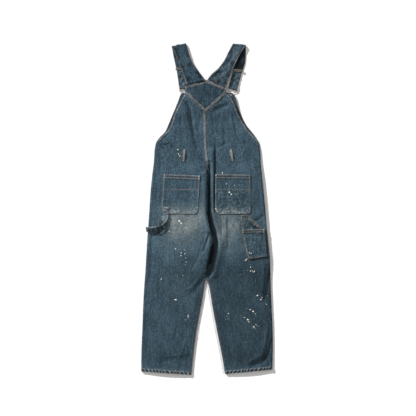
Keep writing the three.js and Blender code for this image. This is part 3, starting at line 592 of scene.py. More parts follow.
# Sharp creases near the edges, too narrow for the light to reach in: half width, share and path
shadeLines = [
    (5, 0.5, [(268, -236), (264, -280), (258, -335), (252, -372)]), (3.5, 0.35, [(265, -262), (260, -318)]),
    (4, 0.3, [(284, -505), (270, -588), (257, -636), (237, -657), (202, -671)]),
    (3, 0.4, [(276, -560), (262, -622), (244, -650)]),
    (6, 0.62, [(-85, 448), (-74, 420), (-68, 366), (-58, 318)]), (7, 0.35, [(32, 414), (60, 434), (86, 450)]),
    (4, 0.6, [(240, -26), (226, -40), (212, -48)]), (3.5, 0.4, [(-240, -112), (-244, -180)]),
    (2.5, 0.2, [(-190, -652), (-132, -655), (-70, -642)]), (4, 0.4, [(246, 40), (250, 0), (252, -24)]),
    (4, 0.5, [(254, -112), (262, -118), (268, -128)]), (5, 0.3, [(-8, 408), (30, 424), (60, 446)]),
    (5, 0.3, [(-14, 412), (-50, 440), (-86, 470)]),
    (4, 0.35, [(222, 280), (228, 220), (234, 150), (244, 60)]),
]


# Painted shade, mottled, where the cloth bunches: x, y, reach and strength
bunches = [
    (-205, 268, 46, 0.8), (-160, 290, 40, 0.6), (-75, 140, 30, 0.2), (60, 150, 36, 0.35),
    (-100, 460, 30, 0.3),
    (150, -60, 40, 0.45), (200, -80, 36, 0.35), (-230, 60, 34, 0.25), (-150, 250, 40, 0.25),
]


def bunchedAt(x, y):
    spots = np.clip(softNoise(x, y, 8, 8, 53) + 0.6 * softNoise(x, y, 4, 5, 54), 0, 1)
    return spots * sum(s * np.exp(-((x - cx) ** 2 + (y - cy) ** 2) / reach ** 2)
                       for cx, cy, reach, s in bunches)


# The legs are darker than the seat, the right one more so, and lighter again near the hem; the right side is
# a little darker higher up too
def legShade(x, y):
    right = smooth((x - 10) / 30)
    legs = (0.24 + 0.14 * right) * smooth((-120 - y) / 160) * (1 - 0.45 * smooth((-640 - y) / 50))
    return legs + 0.08 * right * smooth((260 - y) / 200)


pieces = {}
for sideName in sides:
    pieces[f"back_{sideName}"] = makeBack(sideName)
print("back panels")


# Yoke: a shield with blunt side corners and folded, twin-stitched bands along its edges
yokeUpper = {"left": [yokeTop, yokeLeftTop], "right": [yokeTop, yokeRightTop]}
yokeEnds = {"left": [yokeLeftTop, yokeLeft], "right": [yokeRightTop, yokeRight]}
yokeBands = {"lower": 10.5, "upper": 10.5, "lapped": 15, "end": 8}
yokeBlunt = {"left": 0.28, "right": 0.2}


# Distance from each kind of edge
def yokeEdges(x, y):
    def nearest(paths):
        return np.minimum(pathDistance(x, y, paths["left"]), pathDistance(x, y, paths["right"]))
    return {
        "lower": nearest(yokeLowerPaths), "upper": pathDistance(x, y, yokeUpper["right"]),
        "lapped": pathDistance(x, y, yokeUpper["left"]), "end": nearest(yokeEnds),
    }


def yokeTopAt(x, y):
    edges = yokeEdges(x, y)
    puckers = pucker(edges["lower"], x, y, 61, 18, 1.7) + pucker(edges["upper"], x, y, 62, 16, 1.4)
    upright = 0.85 * softNoise(x, y, 7, 40, 63) + 0.7 * softNoise(x, y, 18, 26, 64)
    bands = np.maximum.reduce([band(edges[k], yokeBands[k], cloth["felled"], 1.6) for k in edges])
    edge = np.minimum(rimDistance(x, y), edges["lower"])
    return lie(x, y) + cloth["denim"] + bands + puckers + upright - np.minimum(edgeRound(edge), 0.8)


# Painted shade in the puckers along the bands and down the middle of the yoke
def yokeShade(x, y, edges):
    band = np.minimum(edges["lower"], edges["upper"])
    beside = np.exp(-((band - 13) / 4) ** 2) * np.clip(0.3 + 0.6 * softNoise(x, y, 9, 9, 82), 0, 1)
    upright = np.clip(softNoise(x, y, 7, 26, 83) + 0.5 * softNoise(x, y, 5, 9, 84), 0, 1)
    return 0.65 * beside + 0.6 * upright * smooth((band - 9) / 5)


def bulge(start, blunt, end, share, t):
    bent = np.where(t < share, start + (blunt - start) * t / share,
                    blunt + (end - blunt) * (t - share) / (1 - share))
    return bent - start - (end - start) * t


def makeYoke():
    centre = (np.array(yokePoint) + np.array(yokeTop)) / 2
    inset = 1 - cloth["gap"] / 50
    table = (yokePoint, yokeLeft, yokeLeftTop, yokeRight, yokeRightTop, yokeTop)
    bottom, left, leftTop, right, rightTop, top = (centre + (np.array(p) - centre) * inset for p in table)
    i = placesAcross(140, 34)[:, None, None]
    j = placesAcross(140, 34)[None, :, None]
    flat = (bottom + (right - bottom) * j) * (1 - i) + (left + (top - left) * j) * i
    flat = flat + bulge(left, leftTop, top, yokeBlunt["left"], j) * i
    flat = flat + bulge(right, rightTop, top, yokeBlunt["right"], i) * j
    x, y = flat[..., 0], flat[..., 1]
    over = yokeTopAt(x, y)
    edges = yokeEdges(x, y)
    wear = sum(seamWear(edges[k], x, y, 1.8, 65 + n, 0.4) for n, k in enumerate(edges))
    wear = wear + sum(seamWear(np.abs(edges[k] - yokeBands[k]), x, y, 1.6, 69 + n, 0.25)
                      for n, k in enumerate(edges))
    sewn = np.maximum.reduce([bandTint(edges[k], yokeBands[k], x, y, 75 + n) for n, k in enumerate(edges)])
    marks = {"fade": 0 * x, "wear": np.clip(wear, 0, 1), "deep": 0.08 + yokeShade(x, y, edges),
             "sewn": 0.8 * sewn}
    under = np.maximum(lie(x, y), over - cloth["denim"] - cloth["felled"])
    return wallOf("clothYoke", withHeight(flat, over), withHeight(flat, under), flat, marks)


pieces["yoke"] = makeYoke()


# Fronts and bib, which lie underneath. Soft creases lift them off the surface where the back leaves room.
frontCreases = [
    (16, 2.6, [(-60, 190), (-110, 120), (-190, 80)]), (14, 2.4, [(50, 200), (120, 140), (200, 110)]),
    (18, 2.2, [(-40, -200), (-120, -240), (-210, -250)]), (15, 2.6, [(40, -190), (110, -260), (220, -270)]),
    (13, 2.4, [(-90, -330), (-160, -360), (-230, -350)]), (12, 2.0, [(-80, -400), (-150, -420)]),
    (14, 2.5, [(80, -350), (150, -380), (230, -372)]), (12, 2.1, [(100, -430), (170, -452)]),
    (16, 2.2, [(-120, -520), (-210, -560)]), (15, 2.3, [(110, -540), (220, -590)]),
    (18, 2.4, [(-80, 300), (-20, 250), (60, 280)]), (14, 2.0, [(-60, 420), (0, 360), (70, 410)]),
]
bibSections = [(228.3, -224, 226), (282, -220, 223), (305, -206, 212), (332, -180, 192), (362, -166, 168),
               (392, -153.5, 152), (408, -147, 145.5), (424, -140, 139), (440, -133, 133.5),
               (455, -127, 129), (470, -121, 125), (488, -115, 119), (499, -108, 108)]
waist, centreFront = 228.0, -3


def bibLift(y):
    return cloth["bibRise"] * smooth((y - cloth["bibRiseFrom"]) / cloth["bibRiseOver"])


def frontUnder(x, y):
    lift = ridgesAt(x, y, frontCreases)
    lift = lift + 0.8 * softNoise(x, y, 34, 60, 71) + 0.35 * softNoise(x, y, 13, 22, 72)
    raised = sideRise(x, y)
    room = lie(x, y) - raised - 2 * cloth["denim"] - 0.15 - cloth["backRise"] * smooth((y - 360) / 60)
    return bibLift(y) + np.clip(lift - 0.25, 0, np.clip(room, 0, 3)) + raised


def frontSheet(name, left, right, uvShift, bandPaths):
    flat = sheetBetween(left, right, placesAcross(pathLength(left), int(pathLength(left) / 8)),
                        placesAcross(200, 34))
    x, y = flat[..., 0], flat[..., 1]
    away = np.minimum.reduce([pathDistance(x, y, path) for path in bandPaths])
    groove = stitchDents(away, stitchRows["front"])
    under = frontUnder(x, y) + 0.35 * groove + np.minimum(edgeRound(away), 0.5)
    kneeFade = 0.5 * np.exp(-((np.abs(x) - 165) / 60) ** 2 - ((y + 360) / 110) ** 2)
    kneeFade = kneeFade + 0.35 * np.exp(-((np.abs(x) - 130) / 70) ** 2 - ((y + 60) / 90) ** 2)
    marks = {"fade": np.clip(kneeFade, 0, 1), "wear": seamWear(away, x, y, 2.0, 73, 0.35),
             "deep": 0.25 + 0 * x, "sewn": 0.3 * bandTint(away, 10, x, y, 74)}
    uv = np.stack([x - uvShift, y], -1)
    top = frontUnder(x, y) + cloth["denim"]
    return wallOf(name, withHeight(flat, top), withHeight(flat, under), uv, marks)


frontBands = {}
for sideName, table in sides.items():
    dense = np.linspace(4, 17, 1300)
    outerY = curveAt(table["edge"], dense)[:, 1]
    waistPlace = float(np.interp(-waist, -outerY, dense))
    sections = np.linspace(17, waistPlace, 160)
    outer, inner = rowEnds(sideName, sections)
    middle = centreFront + table["outward"] * cloth["gap"] / 2
    inner = np.where((sections < 12)[:, None], np.stack([0 * sections + middle, outer[:, 1]], -1), inner)
    outer[-1, 1] = inner[-1, 1] = waist
    ends = (outer, inner) if sideName == "left" else (inner, outer)
    outerPath, innerPath = list(map(tuple, outer)), list(map(tuple, inner))
    frontBands[sideName] = [hemPaths[sideName], innerPath, [outerPath[-1], innerPath[-1]]]
    piece = frontSheet(f"clothFront{sideName.title()}", list(map(tuple, ends[0])), list(map(tuple, ends[1])),
                       table["outward"] * 140, frontBands[sideName])
    pieces[f"front_{sideName}"] = piece

bibSteps = np.linspace(0, len(bibSections) - 1, 120)
bibLeft = curvePath([(left, y) for y, left, right in bibSections], bibSteps)
bibRight = curvePath([(right, y) for y, left, right in bibSections], bibSteps)
bibBands = [bibLeft, bibRight, [bibLeft[-1], bibRight[-1]], [bibLeft[0], bibRight[0]]]
pieces["bib_front"] = frontSheet("clothBib", bibLeft, bibRight, 0, bibBands)
print("yoke, fronts and bib")


# Patches: corners from the bottom up on each side, with their radius, and the layer that each lies on
def roundedPath(corners, before):
    path = []
    for k, (x, y, radius) in enumerate(corners):
        corner = np.array([x, y], float)
        last = np.array(corners[k - 1][:2] if k else before, float)
        if not radius or k == len(corners) - 1:
            path.append((x, y))
            continue
        after = np.array(corners[k + 1][:2], float)
        start = corner + (last - corner) * radius / np.hypot(*(last - corner))
        end = corner + (after - corner) * radius / np.hypot(*(after - corner))
        for t in np.linspace(0, 1, 9):
            path.append(tuple(start * (1 - t) ** 2 + 2 * corner * t * (1 - t) + end * t ** 2))
    return path


patches = {
    "pocket_left": {
        "speckle": 0.3, "side": "left", "left": [(-168, -19, 10), (-193, -12, 12), (-186, 149, 0)],
        "right": [(-39, -22, 24), (-30, 143, 0)], "hem": 16, "seed": 81,
    },
    "pocket_right": {
        "speckle": 0.6, "side": "right", "left": [(36, -22, 26), (34.5, 149, 0)],
        "right": [(187, -20, 14), (187, 147, 0)], "hem": 16, "seed": 91,
    },
    "tool_pocket_large": {
        "speckle": 0.9, "side": "right",
        "left": [(178, -217, 6), (170, -190, 0), (152, -105, 0), (144, -26, 0)],
        "right": [(260, -204, 0), (250, -95, 0), (170, -24, 0)], "hem": 0, "seed": 101,
    },
    "tool_pocket_small": {
        "speckle": 0.4, "side": "right", "left": [(180.5, -214, 5), (172, -186, 0), (150, -88, 0)],
        "right": [(257, -203, 0), (248, -86, 0)], "hem": 14, "seed": 111, "over": "tool_pocket_large",
    },
}
for patch in patches.values():
    patch["leftPath"] = roundedPath(patch["left"], patch["right"][0][:2])
    patch["rightPath"] = roundedPath(patch["right"], patch["left"][0][:2])
    patch["outline"] = patch["leftPath"] + patch["rightPath"][::-1]
    patch["closed"] = patch["outline"] + patch["outline"][:1]
    patch["mouth"] = [patch["leftPath"][-1], patch["rightPath"][-1]]


def patchUnder(x, y, patch):
    if "over" in patch:
        return np.maximum(patchTop(x, y, patches[patch["over"]]), backTop(x, y, patch["side"])) + cloth["gap"]
    return backTop(x, y, patch["side"]) + cloth["gap"]


def patchTop(x, y, patch):
    edge = pathDistance(x, y, patch["closed"])
    mouth = pathDistance(x, y, patch["mouth"])
    turned = 0.55 * (1 - smooth((edge - 8.6) / 1.8))
    hem = band(mouth, patch["hem"], 0.8, 1.6) if patch["hem"] else 0
    seed = patch["seed"]
    own = pucker(edge, x, y, seed, 12, 0.7) + 0.5 * softNoise(x, y, 24, 52, seed + 1) * smooth(edge / 20)
    own = own + 0.35 * softNoise(x, y, 9, 22, seed + 2) * smooth(edge / 10)
    stitched = stitchDents(edge, stitchRows["patch"]) * (mouth > 4)
    top = patchUnder(x, y, patch) + cloth["denim"] + np.maximum(turned, hem)
    return top + own - 0.28 * stitched - np.minimum(edgeRound(edge), 0.9) + 0.4


def clothName(node):
    return "cloth" + node.title().replace("_", "")


def makePatch(node, patch):
    tall = placesAcross(pathLength(patch["leftPath"]), int(pathLength(patch["leftPath"]) / 3.4))
    wide = placesAcross(150, 40)
    flat = sheetBetween(patch["leftPath"], patch["rightPath"], tall, wide)
    x, y = flat[..., 0], flat[..., 1]
    edge, mouth = pathDistance(x, y, patch["closed"]), pathDistance(x, y, patch["mouth"])
    seed = patch["seed"]
    wear = seamWear(edge, x, y, 1.8, seed + 3, 0.45) + seamWear(np.abs(mouth - 2), x, y, 2, seed + 5, 0.35)
    wear = wear + seamWear(np.abs(mouth - patch["hem"]), x, y, 2, seed + 6, 0.5) * (patch["hem"] > 0)
    sewn = np.maximum(0.3 * bandTint(edge, 4, x, y, seed + 7),
                      0.3 * bandTint(mouth, patch["hem"], x, y, seed + 8))
    # Painted shade below the pocket hem's band and along its middle; the speckle is a random dark and pale
    # mottle
    dark = legShade(x, y) + bunchedAt(x, y) + 0.5 * np.exp(-((mouth - patch["hem"] - 3) / 2.5) ** 2)
    speckle = patch["speckle"] * softNoise(x, y, 4.6, 4.6, seed + 12) * smooth((120 - y) / 50)
    dark = dark + np.clip(speckle + 0.03, 0, 1) + 0.4 * np.exp(-((mouth - 8) / 3) ** 2) * (patch["hem"] > 0)
    wear = wear + 0.5 * np.clip(-speckle - 0.08, 0, 1)
    if node == "tool_pocket_large":
        slope = pathDistance(x, y, [(250, -95), (170, -24)])
        sewn = np.maximum(sewn, 0.5 * bandTint(slope, 10.5, x, y, seed + 9))
        wear = wear + seamWear(np.minimum(np.abs(slope - 1.5), np.abs(slope - 9)), x, y, 1.6, seed + 10, 0.9)
        # Painted shade in the slope band's groove and below its edge
        dark = dark + 0.4 * np.exp(-((slope - 5.2) / 2) ** 2) + 0.4 * np.exp(-((slope - 13) / 3) ** 2)
    bottom = np.exp(-(np.maximum(edge - 4, 0) / 10) ** 2) * smooth((18 - y) / 20) * (patch["hem"] == 16)
    wear = wear + 1.5 * bottom * np.clip(0.1 + 1.8 * softNoise(x, y, 4.5, 4.5, seed + 11), 0, 1)
    sewn = np.maximum(sewn, 0.4 * np.exp(-((y - 84) / 3) ** 2) * (patch["hem"] == 16) * smooth(edge / 4))
    marks = {"fade": fadeAt(x, y), "wear": np.clip(wear, 0, 1), "deep": np.clip(dark, 0, 1),
             "sewn": sewn}
    top, under = patchTop(x, y, patch), patchUnder(x, y, patch)
    under = np.minimum(under, top - 1.2)
    return wallOf(clothName(node), withHeight(flat, top), withHeight(flat, under), flat, marks)


for node, patch in patches.items():
    pieces[node] = makePatch(node, patch)
print("pockets")


# Share of a strip's thickness near its edge or end
def roundedOff(away, thickness):
    return np.sqrt(np.clip(1 - (1 - np.clip(away / (thickness * 0.45), 0, 1)) ** 2, 0.05, 1))


# Straps and loops: strips given by stations, each with its two edge points and the way its inner face looks
def stripOf(name, stations, thickness, marks, columns=22, relief=None):
    lefts = np.array([s[0] for s in stations], float)
    rights = np.array([s[1] for s in stations], float)
    facing = np.array([s[2] for s in stations], float)[:, None]
    width = float(np.mean(np.linalg.norm(rights - lefts, axis=1)))
    near = np.array([0, 0.35, 0.9, 1.8, 3.2, 5]) / width
    places = np.concatenate([near, np.linspace(near[-1], 1 - near[-1], columns)[1:-1], 1 - near[::-1]])
    middle = lefts[:, None] * (1 - places)[None, :, None] + rights[:, None] * places[None, :, None]
    fromEdge = np.minimum(places, 1 - places) * width
    along = reachOf(np.linalg.norm(np.diff(middle.mean(axis=1), axis=0), axis=1))
    rowEnd = np.minimum(along, along[-1] - along)
    half = (thickness / 2 * roundedOff(fromEdge, thickness))[None, :] * roundedOff(rowEnd, thickness)[:, None]
    u, v = np.meshgrid(places * width, along)
    wave = 0 if relief is None else relief(u, v, width)
    inner = middle + facing * half[..., None]
    outer = middle - facing * (half + wave * (half > thickness * 0.3))[..., None]
    outer[..., 2] = np.maximum(outer[..., 2], 0)
    uv = np.stack([u, v], -1)
    values = {mark: value(u, v, width) for mark, value in marks.items()}
    return wallOf(name, inner, outer, uv, values), outer, inner


def between(a, b, t):
    return tuple(p + (q - p) * t for p, q in zip(a, b))


def rowPoints(row, leftLevel, rightLevel=None):
    rightLevel = leftLevel if rightLevel is None else rightLevel
    return np.array([row[0], row[1], leftLevel]), np.array([row[2], row[3], rightLevel])


# Half turn from a lower layer to an upper one, round an axis along a row
def turnOver(row, radius, lowLevel, sign, steps=14):
    across = np.array([row[2] - row[0], row[3] - row[1]]) / math.hypot(row[2] - row[0], row[3] - row[1])
    away = np.array([-across[1], across[0], 0]) * sign
    stations = []
    for angle in np.linspace(0, math.pi, steps):
        swing = away * math.sin(angle) + np.array([0, 0, -math.cos(angle)])
        ends = [point + swing * radius for point in rowPoints(row, lowLevel + radius)]
        stations.append((*ends, -swing))
    return stations


up, down = np.array([0.0, 0, 1]), np.array([0.0, 0, -1])
strapShape = {"foldRadius": 2.9, "low": 1.2, "lapLevel": 10.4, "tailRadius": 1.95, "tailLow": 0.7}
straps = {
    "left": {
        "upper": [(-88.5, 529, -7.5, 549.5), (-96, 559, -26, 578), (-106, 588, -50, 610),
                  (-124, 632, -70.5, 646), (-138, 669, -81.5, 682), (-151, 696, -90, 709)],
        "under": [(-151, 696, -90, 709), (-143, 652, -88, 664), (-131.5, 601, -90, 607)],
        "tail": [(-131.4, 600.5, -90, 606.5), (-118, 513, -78, 519)], "laps": True, "seed": 121, "worn": 0.0,
    },
    "right": {
        "upper": [(1.5, 553.6, 79.8, 519.9), (19.5, 577.5, 95, 557), (51.5, 607, 106, 587),
                  (77.5, 644, 124.5, 630), (96, 681, 147, 674), (110.5, 708, 167, 701)],
        "under": [(110.5, 708, 167, 701), (113, 655, 164, 632), (112.5, 597, 152.5, 594)],
        "tail": [(112.4, 596.5, 152.3, 593.5), (91, 519, 128, 509)], "laps": False, "seed": 131, "worn": 0.2,
    },
}


def rowsAlong(rows, count):
    places = np.linspace(0, len(rows) - 1, count)
    left = curveAt([row[:2] for row in rows], places)
    right = curveAt([row[2:] for row in rows], places)
    return places, [(*a, *b) for a, b in zip(left, right)]


def strapStations(strap):
    low, radius = strapShape["low"], strapShape["foldRadius"]
    high = low + 2 * radius
    stations = []
    rows = rowsAlong(strap["under"][::-1], 30)[1]
    for row in rows[:-1]:
        stations.append((*rowPoints(row, low), up))
    stations += turnOver(strap["under"][0], radius, low, 1)
    places, rows = rowsAlong(strap["upper"], 56)
    for place, row in list(zip(places, rows))[-2::-1]:
        climb = float(smooth(1 - place / 3))
        levels = []
        for px, py in (row[:2], row[2:]):
            x, y = np.array(px), np.array(py)
            end = strapShape["lapLevel"] if strap["laps"] else float(lie(x, y)) + low
            level = high + (end - high) * climb
            if strap["laps"] and place < 0.3:
                level = max(level, float(yokeTopAt(x, y)) + cloth["gap"] + low)
            levels.append(level)
        stations.append((*rowPoints(row, *levels), down))
    return stations


# Two rows of stitches near both edges pull a strap in, and its middle ripples
def strapRelief(seed, height=1.9, across=13, along=26):
    def relief(u, v, width):
        fromEdge = np.minimum(u, width - u)
        rows = stitchDents(fromEdge, (2.4, 8.4))
        ripple = 0.6 * softNoise(u, v, 7, 9, seed) * np.exp(-((fromEdge - 3) / 6) ** 2)
        return height * softNoise(u, v, across, along, seed + 1) + ripple - 0.3 * rows
    return relief


def strapMarks(seed, dark, faded=0.0, sewnWidth=4.0, worn=0.0):
    def wear(u, v, width):
        edges = seamWear(np.minimum(u, width - u), u, v, 1.8, seed + 2, 0.6)
        return edges + worn * seamWear(0 * u, u, v, 1, seed + 6)

    def sewn(u, v, width):
        return 0.35 * bandTint(np.minimum(u, width - u), sewnWidth, u, v, seed + 3)

    def fade(u, v, width):
        return faded * (0.8 + 0.3 * softNoise(u, v, 6, 8, seed + 5))
    return {"fade": fade, "wear": wear, "deep": dark, "sewn": sewn}


stripGrids = {}


# Makes a strip and keeps its two faces, along which it is sewn
def addStrip(node, stations, thickness, marks, columns, relief=None):
    pieces[node], *stripGrids[node] = stripOf(clothName(node), stations, thickness, marks, columns, relief)


for sideName, strap in straps.items():
    # Painted shade: the right strap's under layer lies in the upper layer's shadow, and the left strap
    # darkens near its fold; both are mottled dark
    def dark(u, v, width, sideName=sideName):
        inside = 0.75 * (1 - smooth((v - 104) / 6)) if sideName == "right" else 0
        mottled = np.clip(softNoise(u, v, 10, 20, 126) + 0.5 * softNoise(u, v, 5, 9, 127), 0, 1)
        atFold = np.exp(-((v - 118) / 26) ** 2) if sideName == "left" else 0
        return np.clip(0.04 + inside + (0.95 + 0.3 * atFold) * mottled, 0, 1)
    seed = strap["seed"]
    addStrip(f"strap_{sideName}", strapStations(strap), cloth["strap"],
             strapMarks(seed, dark, worn=strap["worn"]), 26, strapRelief(seed))

    # Strap end: a loop of single cloth round the buckle's bar
    def endDark(u, v, width):
        return 0.12 + 0.75 * np.clip(softNoise(u, v, 8, 6, 128) + 0.6 * softNoise(u, v, 4, 4, 129), 0, 1)
    top, foot = strap["tail"]
    radius, low = strapShape["tailRadius"], strapShape["tailLow"]
    loopRow = between(foot, top, radius / 90)
    stations = [(*rowPoints(between(top, loopRow, t), low), up) for t in np.linspace(0, 1, 26)[:-1]]
    stations += turnOver(loopRow, radius, low, -1)
    closed, opened = low + cloth["denim"] + cloth["gap"], low + 2 * radius
    for t in np.linspace(0, 1, 26)[1:]:
        level = opened + (closed - opened) * float(smooth(2 * t))
        stations.append((*rowPoints(between(loopRow, top, 0.96 * t), level), down))
    stations = [(b, a, facing) for a, b, facing in stations]
    addStrip(f"strap_end_{sideName}", stations, cloth["denim"],
             strapMarks(seed + 4, endDark, worn=0.3), 16, strapRelief(seed + 4, 1.3, 9, 7))

# Belt loops: short strips that stand off the cloth between their sewn ends
beltLoops = {"width": 14, "rise": 3.2, "left": (-99, 256, -104, 203), "right": (100, 257, 108, 204)}
for sideName in sides:
    topX, topY, footX, footY = beltLoops[sideName]
    stations = []
    for t in np.linspace(0, 1, 34):
        x, y = footX + (topX - footX) * t, footY + (topY - footY) * t
        around = np.array([-beltLoops["width"] / 2, 0, beltLoops["width"] / 2])
        clear = float(np.max(backTop(x + around, y + 0 * around, sideName)))
        level = clear + cloth["gap"] + cloth["denim"] / 2 + beltLoops["rise"] * math.sin(math.pi * t) ** 2
        row = (x + around[0], y, x + around[2], y)
        stations.append((*rowPoints(row, level), down))
    stations = [(b, a, facing) for a, b, facing in stations]
    seed = 141 if sideName == "left" else 146
    # Painted shadow down the loop's right side
    marks = strapMarks(seed, lambda u, v, width: 0.85 * smooth((u - 8) / 2), 0.9, 14, 0.6)
    addStrip(f"belt_loop_{sideName}", stations, cloth["denim"], marks, 8)

# Hammer loop: from the pocket's corner to the side seam, standing up on its lower edge
hammer = {"cloth": 2.2, "onPocket": 2}
hammerRows = [
    (-188, 10, 0.3, -163, 8, 0.3), (-188, -6, 0.3, -163, -8, 0.6), (-191, -25, 2, -166, -34, 5),
    (-198, -48, 7, -173, -66, 5), (-206, -66, 13, -188, -92, 3), (-219, -74, 15, -210, -106, 2),
    (-238, -77, 11, -236, -106, 1), (-263, -77, 5, -260, -97, 1),
]


def hammerStations():
    ends = []
    for k, row in enumerate(hammerRows):
        base = cloth["gap"] + cloth["denim"] if k < hammer["onPocket"] else 0
        edges = []
        for x, y, rise in (row[:3], row[3:]):
            around = np.array([-6.0, 0, 6])
            clear = float(np.max(backTop(x + around, y + 0 * around, "left")))
            edges.append((x, y, max(clear, 4) + base + rise + hammer["cloth"] / 2))
        ends.append(edges)
    places = np.linspace(0, len(ends) - 1, 60)
    inner = np.stack([smoothThrough([e[0][k] for e in ends], places) for k in range(3)], -1)
    outer = np.stack([smoothThrough([e[1][k] for e in ends], places) for k in range(3)], -1)
    run = np.gradient(inner + outer, axis=0)
    facing = np.cross(run, outer - inner)
    facing /= np.linalg.norm(facing, axis=1, keepdims=True)
    facing *= np.where(facing[:, 2:] < 0, -1, 1)
    return [(a, b, -f) for a, b, f in zip(inner, outer, facing)]


def smoothThrough(values, places):
    return curveAt([(3 * k, value) for k, value in enumerate(values)], places)[:, 1]


seed = 151


def pastRim(u, v, width):
    return u - np.clip(width * (1 - (v - 38) / 72), 1.5, width + 9)


# Painted shade where the loop turns away from the light past its rim, with dark puckers
def hammerDark(u, v, width):
    puckered = np.clip(softNoise(u, v, 22, 6, seed + 7) + 0.4 * softNoise(u, v, 6, 6, seed + 8) + 0.1, 0, 1)
    past = pastRim(u, v, width)
    below = 0.5 * smooth((past - 1) / 3)
    return np.clip(below + 0.9 * puckered, 0, 0.85) * (1 - np.exp(-(past / 2.2) ** 2))


# Wear over the loop, and a painted highlight along its lit rim
def hammerWearAndHighlight(u, v, width):
    past = pastRim(u, v, width)
    worn = 0.45 * seamWear(0 * u, u, v, 1, seed + 6) * (1 - smooth((past - 1) / 3))
    return np.clip(worn + 1.3 * np.exp(-(past / 2.0) ** 2), 0, 1)


hammerMarks = strapMarks(seed, hammerDark, 0.2)
hammerMarks["wear"] = hammerWearAndHighlight
addStrip("hammer_loop", hammerStations(), hammer["cloth"], hammerMarks, 14, strapRelief(seed, 1.4, 16, 6))
print("straps and loops")

# Denim: ring-spun indigo warp over a white weft, washed down. Streaks run along the warp.
# Tones that lie over every denim: pale where worn, and as a painted highlight along the hammer loop's lit
# rim; brown beside tan thread; near black for painted shade in folds, creases, puckers and under edges, and
# for dark mottling and speckle
castTones = {"worn": "939ea2", "brown": "746a65", "deep": "081419"}
weave = {"twill": 0.0016, "slub": 0.0042, "slubLength": 0.04, "fine": 0.0026, "fineLength": 0.011,
         "grain": 0.005}
denims = {
    "washed denim": {"dark": "1b2b33", "mid": "314551", "light": "4c6471", "fade": "737d7f"},
    "dark denim": {"dark": "15242c", "mid": "283b47", "light": "425867", "fade": "667478"},
    "pocket denim": {"dark": "1b2b34", "mid": "314651", "light": "4d6472", "fade": "737d7f"},
}


